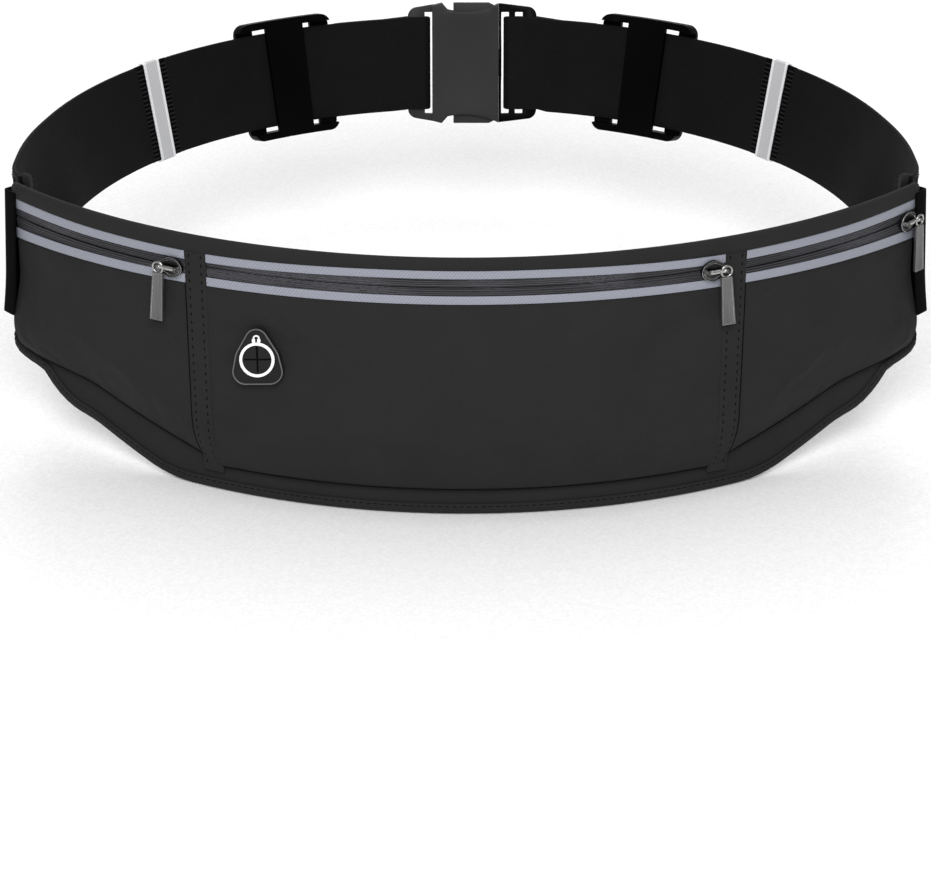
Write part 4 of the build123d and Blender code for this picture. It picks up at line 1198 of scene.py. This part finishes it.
class WAISTPACK_OT_sliders(bpy.types.Operator):
    """Zipper sliders with their bridge bars, and the pulls that hang from them"""
    bl_idname = "waistpack.sliders"
    bl_label = "Sliders and pulls"

    BAR_Z = 5.0
    FEET = (-3.15, 4.35)

    def slider(self, finish):
        """Slider modelled flat: x along the zipper, y up, z out of the front, in millimetres."""
        body = rod("slider", 1.0, 0.45, 1.9, (0.2, 0), 48, (5.0, 3.9))
        for vertex in body.data.vertices:
            x = vertex.co.x / MM
            if x > 0:           # the nose narrows towards the pull
                vertex.co.y *= 1 - 0.34 * min(1.0, x / 5.2)
        with editing(body, lambda face: face.normal.z > 0.9):
            bpy.ops.mesh.inset(thickness=0.9 * MM)
            pull_out(0, 0, -0.35)
        combine(body, block("neck", (-2, -0.25, -4.0), (2, 0.25, 1.0)))
        back = rod("back", 1.0, -5.0, -3.6, (0, 0), 40, (4.4, 3.5))
        combine(body, back)
        foot, bar_z, turn = self.FEET, self.BAR_Z, 1.1
        leg = bar_z - turn - 1.4
        bpy.ops.object.select_all(action="DESELECT")
        bpy.ops.mesh.primitive_circle_add(vertices=18, radius=0.8 * MM, fill_type="NGON",
                                          location=(foot[0] * MM, 0, 1.4 * MM))
        bar = named("bar")
        with editing(bar, "ALL"):
            pull_out(0, 0, leg)
            bpy.ops.mesh.spin(steps=6, angle=pi / 2, axis=(0, 1, 0),
                              center=((foot[0] + turn) * MM, 0, (bar_z - turn) * MM))
            pull_out(foot[1] - foot[0] - 2 * turn, 0, 0)
            bpy.ops.mesh.spin(steps=6, angle=pi / 2, axis=(0, 1, 0),
                              center=((foot[1] - turn) * MM, 0, (bar_z - turn) * MM))
            pull_out(0, 0, -leg)
        turn_outwards(bar)
        # pale grey painted highlight on the bridge bar
        paint(bar, finish["bar"])
        only(bar)
        bpy.ops.object.shade_smooth_by_angle(angle=radians(50))
        # the bevelled rims take the second material, a pale grey painted highlight
        paint(body, finish["slider"], finish["slider_edge"])
        round_edges(body, 0.28, 2, 35, material=1)
        piece = joined("slider", [body, bar])
        with editing(piece, "ALL"):
            bpy.ops.mesh.remove_doubles(threshold=0.001 * MM)
        return piece

    def pull(self, finish):
        """Pull modelled flat like the slider: a ring under the bar, and a straight tab."""
        ring_z = self.BAR_Z - 1.4
        bottom = -20.3
        bpy.ops.object.select_all(action="DESELECT")
        bpy.ops.mesh.primitive_torus_add(major_radius=2.05 * MM, minor_radius=0.42 * MM, major_segments=40,
                                         minor_segments=10, location=(3.8 * MM, 0, ring_z * MM))
        ring = named("ring")
        tab = block("tab", (1.2, bottom, ring_z - 0.6), (6.4, -1.9, ring_z + 0.6))
        with editing(tab, lambda edge: all(tab.data.vertices[i].co.y > -2 * MM for i in edge.vertices), "EDGE"):
            bpy.ops.transform.resize(value=(0.8, 1, 1), center_override=(3.8 * MM, -1.9 * MM, ring_z * MM))
        with editing(tab, lambda face: abs(face.normal.z) > 0.9):
            bpy.ops.mesh.inset(thickness=0.45 * MM)
            bpy.ops.mesh.extrude_region_shrink_fatten(TRANSFORM_OT_shrink_fatten={"value": -0.12 * MM})
        # the tab's bevelled rim and the ring are painted pale grey as painted highlight
        paint(tab, finish["pull"], finish["slider_edge"])
        round_edges(tab, 0.22, 2, 35, material=1)
        paint(ring, finish["slider_edge"])
        for polygon in ring.data.polygons:
            polygon.use_smooth = True
        for vertex in tab.data.vertices:        # the tab hangs a little outwards
            vertex.co.x += 0.09 * max(0.0, -1.9 * MM - vertex.co.y)
        return joined("pull", [tab, ring])

    def execute(self, context):
        finish = finishes(context.scene.waist_pack.colours)
        slider, pull = self.slider(finish), self.pull(finish)
        for name, hand in (("left", -1), ("centre", 1), ("right", 1)):
            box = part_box(f"{name}_slider")
            pin = Vector(JOINTS[f"{name}_pull_swing"]["pos_m"])
            angle = asin(pin.x / (FRONT_R + self.BAR_Z * MM))
            out_way = Vector((sin(angle), -cos(angle), 0))
            along = Vector((cos(angle), sin(angle), 0))
            centre = Vector((0, FRONT_AXIS_Y, ZIP_Z[name])) + out_way * FRONT_R
            matrix = Matrix((along, Vector((0, 0, 1)), out_way)).transposed().to_4x4()
            matrix.translation = centre
            for flat, kind, slot in ((slider, "slider", "slider_metal"), (pull, "pull", "pull_metal")):
                piece = copied(flat, f"{name}_{kind}_cast", mirror=hand < 0)
                piece.data.transform(matrix)
                fit(piece, f"{name}_{kind}", slot, f"{name}_{kind}")
            if not (box[0].x - MM < centre.x < box[1].x + MM):
                raise RuntimeError(f"{name} slider is away from its CAD node")
        for flat in (slider, pull):
            bpy.data.objects.remove(flat)
        return {"FINISHED"}


class WAISTPACK_OT_port(bpy.types.Operator):
    """Headphone port: rubber patch with a raised rim, a cross slit, a white ring and a small mark"""
    bl_idname = "waistpack.port"
    bl_label = "Headphone port"

    def execute(self, context):
        finish = finishes(context.scene.waist_pack.colours)
        low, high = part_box("port_ring")
        centre = (low + high) / 2
        u = FRONT_R * asin(centre.x / (FRONT_R + 1.6 * MM))
        v = centre.z
        thick, rim, rim_width = 1.4, 0.45, 0.5
        corners = ((-4.7, -4.9, 4.95), (4.7, -4.9, 4.95), (0, 7.4, 4.4), (0, -1.0, 8.7))
        discs = [rod("disc", r, 0, thick + rim, (x, y), 40) for x, y, r in corners]
        patch = joined("port_patch_rubber", discs)
        with editing(patch, "ALL"):
            bpy.ops.mesh.convex_hull()
        modify(patch, "DECIMATE", decimate_type="DISSOLVE", angle_limit=radians(1))
        with editing(patch, lambda face: face.normal.z > 0.9):
            bpy.ops.mesh.inset(thickness=rim_width * MM)
            pull_out(0, 0, -rim)
        cut(patch, block("slit", (-5.2, -0.5, -1), (5.2, 0.1, 3)),
            block("slit", (-0.35, -5.2, -1), (0.35, 4.9, 3)))
        paint(patch, finish["rubber"], finish["rubber_rim"])
        round_edges(patch, 0.2, 3, 35)
        # the rim's top faces take the lighter painted highlight
        for polygon in patch.data.polygons:
            if polygon.center.z > (thick + rim - 0.3) * MM:
                polygon.material_index = 1
        upright = lambda x, y, out: on_front(x, y + 0.16 * (x - u), out)
        place(patch, upright, u, v)
        fit(patch, "pack", "port_rubber", "port_patch")

        ring = rod("port_ring_print", 6.7, thick, thick + 0.4, (0, -0.2), 64)
        cut(ring, rod("hole", 5.6, 0, 4, (0, -0.2), 64))
        round_edges(ring, 0.12, 2, 35)
        mark = []
        for side in (-1, 1):            # two ear pads joined by a band
            mark.append(rod("pad", 0.62, thick, thick + 0.3, (side * 1.0, 7.2), 16, (1, 1.5)))
        bpy.ops.object.select_all(action="DESELECT")
        bpy.ops.mesh.primitive_torus_add(major_radius=1.05 * MM, minor_radius=0.32 * MM, major_segments=32,
                                         minor_segments=8, location=(0, 8.0 * MM, (thick + 0.1) * MM))
        band = named("band")
        with editing(band, "ALL"):
            bpy.ops.mesh.bisect(plane_co=(0, 7.9 * MM, 0), plane_no=(0, 1, 0), clear_inner=True,
                                use_fill=True)
        only(band)
        bpy.ops.object.shade_smooth()
        ring = joined("port_ring_print", [ring, band, *mark])
        paint(ring, finish["print"])
        place(ring, upright, u, v)
        fit(ring, "pack", "port_print", "port_ring")
        return {"FINISHED"}


class WAISTPACK_OT_belt(bpy.types.Operator):
    """Elastic belt: one strap on each side, from the pack to the buckle and back to its adjuster"""
    bl_idname = "waistpack.belt"
    bl_label = "Belt"

    def stations(self, side, bar):
        """Middle line of one strap as (centre, up) pairs, from its sewn end to its folded-back end."""
        upright = Vector((0, 0, 1))
        lift = WEBBING_THICKNESS / 2 + 0.05 * MM
        sewn = even(PANEL_TURN + 3.5 * MM, PANEL_HALF + 1 * MM, 1.5 * MM)
        line = [(on_panel(side * u, 0, lift), upright) for u in sewn]
        lean_up = lambda angle: Vector((sin(BELT_LEAN) * sin(angle), sin(BELT_LEAN) * cos(angle),
                                        cos(BELT_LEAN)))
        start, end = line[-1][0], on_belt(side * BELT_ARC_END * BELT_R, 0)
        end_up = lean_up(side * BELT_ARC_END)
        away = Vector((0, 1, 0))
        arrive = Vector((-side * cos(BELT_ARC_END), sin(BELT_ARC_END), 0))
        reach = (end - start).length / 3
        for i in range(1, 24):      # a smooth run from the flap to the belt's arc
            t = i / 24
            a, b, c, d = start, start + away * reach, end - arrive * reach, end
            point = a * (1 - t) ** 3 + b * 3 * t * (1 - t) ** 2 + c * 3 * t * t * (1 - t) + d * t**3
            line.append((point, upright.lerp(end_up, t * t * (3 - 2 * t))))
        leg_end, bend = bar
        first = asin((abs(leg_end) + 5 * MM + side * BUCKLE_CENTRE.x) / BELT_R)
        for angle in even(BELT_ARC_END, first, radians(0.8)):
            line.append((on_belt(side * angle * BELT_R, 0), lean_up(side * angle)))
        # over the buckle's bar and back on its far side
        for x in even(leg_end, bend, 0.8 * MM):
            line.append((on_buckle(x, 0, STRAP_TO_BAR), BUCKLE_UP))
        for i in range(1, 10):
            turn = pi * i / 10
            x = bend - side * STRAP_TO_BAR * sin(turn) * 0.72
            line.append((on_buckle(x, 0, STRAP_TO_BAR * cos(turn)), BUCKLE_UP))
        for x in even(bend, leg_end, 0.8 * MM):
            line.append((on_buckle(x, 0, -STRAP_TO_BAR), BUCKLE_UP))
        back = -WEBBING_THICKNESS - 0.35 * MM
        return_start = asin((abs(leg_end) + 9 * MM + side * BUCKLE_CENTRE.x) / BELT_R)
        for angle in even(return_start, RETURN_END, radians(0.8)):
            line.append((on_belt(side * angle * BELT_R, 0, back), lean_up(side * angle)))
        return line

    def smoothed(self, line, rounds=4):
        """Ease the joints between the straight and curved runs."""
        for _ in range(rounds):
            eased = [line[0]]
            for before, here, after in zip(line, line[1:], line[2:]):
                gap = (after[0] - before[0]).length
                if 1.9 * MM < gap < 6 * MM:
                    eased.append(((before[0] + here[0] * 2 + after[0]) / 4,
                                  (before[1] + here[1] * 2 + after[1]) / 4))
                else:
                    eased.append(here)
            line = eased + [line[-1]]
        return line

    def execute(self, context):
        finish = finishes(context.scene.waist_pack.colours)
        half = WEBBING_WIDTH / 2
        bars = {"left": (-28.6 * MM, -21.2 * MM), "right": (28.4 * MM, 16.4 * MM)}
        for name, side in SIDES.items():
            line = self.smoothed(self.stations(side, bars[name]))
            if side > 0:
                line = line[::-1]       # both straps run the same way, so their faces agree
            lay, lengths = follow(line)
            strap = slab(f"{name}_strap_webbing", (0, lengths[-1]), lambda u: -half, lambda u: half, lay,
                         WEBBING_THICKNESS, level=lambda u, v: WEBBING_THICKNESS / 2, rows=10,
                         columns=self.columns(lengths))
            paint(strap, finish["webbing"])
            nodes = [f"{name}_strap_{part}" for part in ("end", "side", "rear", "loop", "return")]
            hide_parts(*nodes)
            if side < 0:
                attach(strap, "pack")
            else:
                start = on_panel(PANEL_HALF + 1 * MM, 0, 0)
                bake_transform(strap)
            # box of stitches where the strap is sewn to the flap
            u0, u1 = PANEL_TURN + 8 * MM, PANEL_HALF - 3 * MM
            v0 = half - 3 * MM
            box = [(u0, -v0), (u1, -v0), (u1, v0), (u0, v0), (u0, -v0), (u1, v0)]
            cross = [(u0, v0), (u1, -v0)]
            rows = [[(side * u, v) for u, v in row] for row in (box, cross)]
            stitches = sew(f"{name}_strap_stitches", rows, on_panel, WEBBING_THICKNESS + 0.1 * MM, 2.8 * MM,
                           2.0 * MM, 0.5 * MM, 0.6)
            paint(stitches, finish["thread"])
            fit(stitches, "pack", "webbing")
        return {"FINISHED"}

    def columns(self, lengths):
        """Columns at the stations, with a few more over the cut ends."""
        edge = 0.49 * WEBBING_THICKNESS
        inside = [u for u in lengths if edge * 1.5 < u < lengths[-1] - edge * 1.5]
        return [edge * k for k in EDGE_ROWS] + inside + [lengths[-1] - edge * k for k in reversed(EDGE_ROWS)]


class WAISTPACK_OT_bands(bpy.types.Operator):
    """Reflective bands round the belt, with bar tacks on both sides"""
    bl_idname = "waistpack.bands"
    bl_label = "Reflective bands"

    def execute(self, context):
        finish = finishes(context.scene.waist_pack.colours)
        for name, side in SIDES.items():
            centre = side * BAND_ANGLE * BELT_R
            half_v, half_t = WEBBING_WIDTH / 2 + 0.15 * MM, WEBBING_THICKNESS / 2 + 0.1 * MM
            bowed = lambda v: side * 2.0 * MM * max(0.0, (half_v - v) / (2 * half_v)) ** 1.5
            cloth = 0.5 * MM
            corner = 0.7 * MM
            ring = []
            for cv, ct, start in ((1, 1, 0), (-1, 1, 90), (-1, -1, 180), (1, -1, 270)):
                # v is measured up the belt and out through it, so the corners go round anticlockwise
                ring += arc((cv * (half_v - corner), ct * (half_t - corner + 0.1 * MM)), corner, start,
                            start + 90, 4)
            outer = [(v * (1 + cloth / half_v), t * (1 + cloth / half_t)) for v, t in ring]
            edge = 1.1 * MM
            columns = [-BAND_LENGTH / 2, -BAND_LENGTH / 2 + 0.15 * MM, -BAND_LENGTH / 2 + edge,
                       -BAND_LENGTH / 2 + edge + 0.1 * MM]
            columns += even(-BAND_LENGTH / 2 + 2 * edge, BAND_LENGTH / 2 - 2 * edge, 1.2 * MM)
            columns += [-u for u in reversed(columns[:4])]
            points, flat, faces = [], [], []
            count = len(ring)
            for loop, shrink in ((outer, 0), (ring, 1)):
                for k, u in enumerate(columns):
                    lift = 0.12 * MM if (abs(u) > BAND_LENGTH / 2 - edge and not shrink) else 0.0
                    for v, t in loop:
                        grow = lift * (1 if t > 0 else -1)
                        points.append(on_belt(centre + u + bowed(v), v, t + grow))
                        flat.append((u, v))
            n = len(columns)
            inner = n * count
            for i in range(n - 1):
                for j in range(count):
                    k = (j + 1) % count
                    a, b = i * count, (i + 1) * count
                    faces.append((a + j, b + j, b + k, a + k))
                    faces.append((inner + a + k, inner + b + k, inner + b + j, inner + a + j))
            for i, flip in ((0, False), (n - 1, True)):
                for j in range(count):
                    k = (j + 1) % count
                    face = (i * count + j, i * count + k, inner + i * count + k, inner + i * count + j)
                    faces.append(face[::-1] if flip else face)
            body = "pack" if side < 0 else "plug_side"
            band = mesh_piece(f"{name}_reflective_band_loop", points, faces, flat)
            turn_outwards(band)
            # the folded edges at both ends of the band take the lighter painted highlight
            paint(band, finish["band"], finish["band_edge"])
            for polygon in band.data.polygons:
                us = [abs(flat[i][0]) for i in polygon.vertices]
                polygon.material_index = 1 if min(us) >= BAND_LENGTH / 2 - edge - 0.15 * MM else 0
            fit(band, body, "reflective", f"{name}_reflective_band")

            # bar tacks: short thread bars in a comb on both sides of the band
            tack, gap = 4.0 * MM, 0.3 * MM
            rows = []
            for way, end in ((-1, "inner"), (1, "outer")):      # the tacks sit on a thin black tape
                span = [centre + way * (BAND_LENGTH / 2 - MM), centre + way * (BAND_LENGTH / 2 + gap + tack)]
                tape = slab(f"{name}_{end}_tack_tape", sorted(span), lambda u: -WEBBING_WIDTH / 2 - 0.1 * MM,
                            lambda u: WEBBING_WIDTH / 2 + 0.1 * MM,
                            lambda u, v, out: on_belt(u + bowed(v), v, out), WEBBING_THICKNESS + 0.3 * MM,
                            rows=10, level=lambda u, v: WEBBING_THICKNESS / 2 + 0.15 * MM)
                paint(tape, finish["end_tape"])
                fit(tape, body, "binding")
            v = -WEBBING_WIDTH / 2 + 1.2 * MM
            while v < WEBBING_WIDTH / 2 - 0.6 * MM:
                for way in (-1, 1):
                    middle = centre + way * (BAND_LENGTH / 2 + gap + tack / 2)
                    rows.append([(middle + bowed(v), v), (middle + bowed(v) + 0.1 * MM, v)])
                v += 1.75 * MM
            both = []
            for face in (1, -1):
                both.append(sew("tack", rows, on_belt, face * (WEBBING_THICKNESS / 2 + 0.15 * MM), MM,
                                tack * 0.9, 0.6 * MM, 0.7))
            tacks = joined(f"{name}_bar_tacks", both)
            # the bar tacks' grey is painted highlight on black thread
            paint(tacks, finish["tack"])
            fit(tacks, body, "binding")
        return {"FINISHED"}


class WAISTPACK_OT_adjusters(bpy.types.Operator):
    """Wide tri-glides that slide along the belt"""
    bl_idname = "waistpack.adjusters"
    bl_label = "Adjusters"

    def execute(self, context):
        finish = finishes(context.scene.waist_pack.colours)
        half_length, half_height = 21.0, 25.0
        centre_bar, outer_bar, rail = 8.5, 8.0, 22.0
        near, far = 1.1, 3.1
        plate = block("adjuster", (-half_length, -half_height, -far), (half_length, half_height, far))
        with editing(plate, lambda edge: stands(plate, edge), "EDGE"):
            bpy.ops.mesh.bevel(offset=4.5 * MM, segments=8)
        slot = half_length - outer_bar
        for way in (-1, 1):
            low, high = sorted((way * centre_bar, way * slot))
            cut(plate, block("slot", (low, -rail, -9), (high, rail, 9)))
            low, high = sorted((way * (slot - 1), way * 30))
            cut(plate, block("over", (low, -rail, -near), (high, rail, 9)))
        cut(plate, block("under", (-centre_bar - 1, -rail, -9), (centre_bar + 1, rail, near)))
        slice_across(plate, [x * MM for x in range(-20, 21, 2)])
        round_edges(plate, 0.55, 3, 40)
        paint(plate, finish["acetal"])
        for name, side in SIDES.items():
            piece = copied(plate, f"{name}_adjuster_moulded")
            place(piece, on_belt, side * ADJUSTER_ANGLE * BELT_R)
            fit(piece, f"{name}_adjuster", "adjuster_plastic", f"{name}_adjuster")
        bpy.data.objects.remove(plate)
        return {"FINISHED"}


class WAISTPACK_OT_buckle(bpy.types.Operator):
    """Side-release buckle: socket, plug and two prongs"""
    bl_idname = "waistpack.buckle"
    bl_label = "Buckle"

    HALF_BODY = 5.0
    CAVITY = 3.4

    def socket(self, finish):
        """Socket modelled flat: x along the belt, y up, z towards the waist, in millimetres."""
        body = block("socket", (-17.5, -26, -self.HALF_BODY), (11.4, 26, self.HALF_BODY))
        for way in (-1, 1):
            # the shoulder slopes from the notch to the strap bar, and the side is hollowed for the prong
            with editing(body, "ALL"):
                bpy.ops.mesh.bisect(plane_co=(-12.8 * MM, way * 26 * MM, 0), plane_no=(-0.24, way * 0.97, 0),
                                    clear_outer=True, use_fill=True)
            hollow = rod("hollow", 33, -9, 9, (-3.5, way * 55.1), 160)
            with editing(hollow, "ALL"):
                bpy.ops.mesh.bisect(plane_co=(-10.6 * MM, way * 22.7 * MM, 0), plane_no=(-0.75, -way * 0.66, 0),
                                    clear_outer=True, use_fill=True)
            cut(body, hollow)
        # a shallow dish across the plate, where the fingers press
        slice_across(body, [y * MM for y in range(-24, 25, 3)], (0, 1, 0))
        slice_across(body, [x * MM for x in range(-16, 11, 3)])
        for vertex in body.data.vertices:
            x, y, z = vertex.co / MM
            dish = 0.75 * max(0.0, 1 - (y / 20) ** 2) * max(0.0, 1 - ((x + 3) / 15) ** 2)
            vertex.co.z = (z - dish if z > 0 else z + dish) * MM
        body.data.update()
        frame_part = block("bar", (-28.1, -25.2, -1.8), (-16.5, 25.2, 1.8))
        for way in (-1, 1):
            with editing(frame_part, "ALL"):
                bpy.ops.mesh.bisect(plane_co=(-12.8 * MM, way * 26 * MM, 0), plane_no=(-0.17, way * 0.985, 0),
                                    clear_outer=True, use_fill=True)
        corner = lambda edge: stands(frame_part, edge) and all(
            frame_part.data.vertices[i].co.x < -28 * MM for i in edge.vertices)
        with editing(frame_part, corner, "EDGE"):
            bpy.ops.mesh.bevel(offset=3.2 * MM, segments=6)
        cut(frame_part, block("slot", (-20.8, -22, -9), (-17.5, 22, 9)))
        combine(body, frame_part)
        cut(body, block("cavity", (-11, -21.2, -self.CAVITY), (14, 21.2, self.CAVITY)),
            block("windows", (-11, -40, -self.CAVITY), (9.6, 40, self.CAVITY)))
        round_edges(body, 0.5, 3, 32)
        paint(body, finish["buckle"])
        return body

    def plug(self, finish):
        """Plug: the strap frame, the wall that closes on the socket, and the guide tongue."""
        body = block("plug", (11.5, -25.8, -1.8), (27.9, 25.8, 1.8))
        for way in (-1, 1):
            with editing(body, "ALL"):
                bpy.ops.mesh.bisect(plane_co=(11.8 * MM, way * 25.8 * MM, 0), plane_no=(0.123, way * 0.992, 0),
                                    clear_outer=True, use_fill=True)
        corner = lambda edge: stands(body, edge) and all(
            body.data.vertices[i].co.x > 27 * MM for i in edge.vertices)
        with editing(body, corner, "EDGE"):
            bpy.ops.mesh.bevel(offset=3.4 * MM, segments=6)
        cut(body, block("slot", (12.6, -22, -9), (15.9, 22, 9)), block("slot", (18.6, -22, -9), (21.9, 22, 9)))
        combine(body, block("tongue", (-9, -5.5, -2.4), (12.4, 5.5, 2.4)))
        round_edges(body, 0.45, 3, 35)
        paint(body, finish["acetal"])
        return body

    def prong(self, finish):
        """Upper prong: an arm with a thumb pad that fills the socket's side window."""
        body = block("prong", (-8.3, 18.0, -2.8), (9.2, 26.0, 2.8))
        with editing(body, "ALL"):
            bpy.ops.mesh.bisect(plane_co=(7.2 * MM, 26 * MM, 0), plane_no=(0.45, 0.9, 0), clear_outer=True,
                                use_fill=True)
        arm = block("arm", (3.0, 15.2, -2.4), (11.2, 19.0, 2.4))
        combine(body, arm)
        for x in range(-6, 6, 2):       # grip ribs on the pad
            cut(body, block("groove", (x - 0.35, 25.75, -1.9), (x + 0.35, 27, 1.9)))
        round_edges(body, 0.4, 3, 35)
        paint(body, finish["buckle"])
        return body

    def execute(self, context):
        finish = finishes(context.scene.waist_pack.colours)
        for name, make, node, body in (("buckle_socket_moulded", self.socket, "buckle_socket", "pack"),
                                       ("buckle_plug_moulded", self.plug, "buckle_plug", "plug_side")):
            piece = joined(name, [make(finish)])
            place(piece, on_buckle)
            fit(piece, body, "buckle_plastic", node)
        upper = self.prong(finish)
        lower = copied(upper, "lower_prong_moulded")
        lower.data.transform(Matrix.Scale(-1, 4, (0, 1, 0)))
        lower.data.flip_normals()
        upper.name = "upper_prong_moulded"
        for piece, name in ((upper, "upper"), (lower, "lower")):
            place(piece, on_buckle)
            fit(piece, f"{name}_prong", "buckle_plastic", f"{name}_prong")
        return {"FINISHED"}


class WAISTPACK_PT_panel(bpy.types.Panel):
    """Settings and operators of the waist pack"""
    bl_label = "Waist pack"
    bl_idname = "WAISTPACK_PT_panel"
    bl_space_type = "VIEW_3D"
    bl_region_type = "UI"
    bl_category = "Waist pack"

    def draw(self, context):
        settings = context.scene.waist_pack
        for group in (settings.sizes, settings.colours):
            box = self.layout.box()
            for key in group.__annotations__:
                box.prop(group, key)
        for operator in OPERATORS:
            self.layout.operator(operator.bl_idname)


OPERATORS = (
    WAISTPACK_OT_stage, WAISTPACK_OT_back_panel, WAISTPACK_OT_pockets, WAISTPACK_OT_zippers,
    WAISTPACK_OT_sliders, WAISTPACK_OT_port, WAISTPACK_OT_belt, WAISTPACK_OT_bands,
    WAISTPACK_OT_adjusters, WAISTPACK_OT_buckle,
)
CLASSES = (WaistPackSizes, WaistPackColours, WaistPackSettings, *OPERATORS, WAISTPACK_PT_panel)


def register():
    for cls in CLASSES:
        bpy.utils.register_class(cls)
    bpy.types.Scene.waist_pack = PointerProperty(type=WaistPackSettings)


def unregister():
    del bpy.types.Scene.waist_pack
    for cls in reversed(CLASSES):
        bpy.utils.unregister_class(cls)


def main():
    register()
    for operator in OPERATORS:
        group, name = operator.bl_idname.split(".")
        getattr(getattr(bpy.ops, group), name)()
    sizes = {"cad": [list(corner) for corner in CAD_BOX], "visual": [list(corner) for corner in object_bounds()]}


if __name__ == "__main__":
    main()
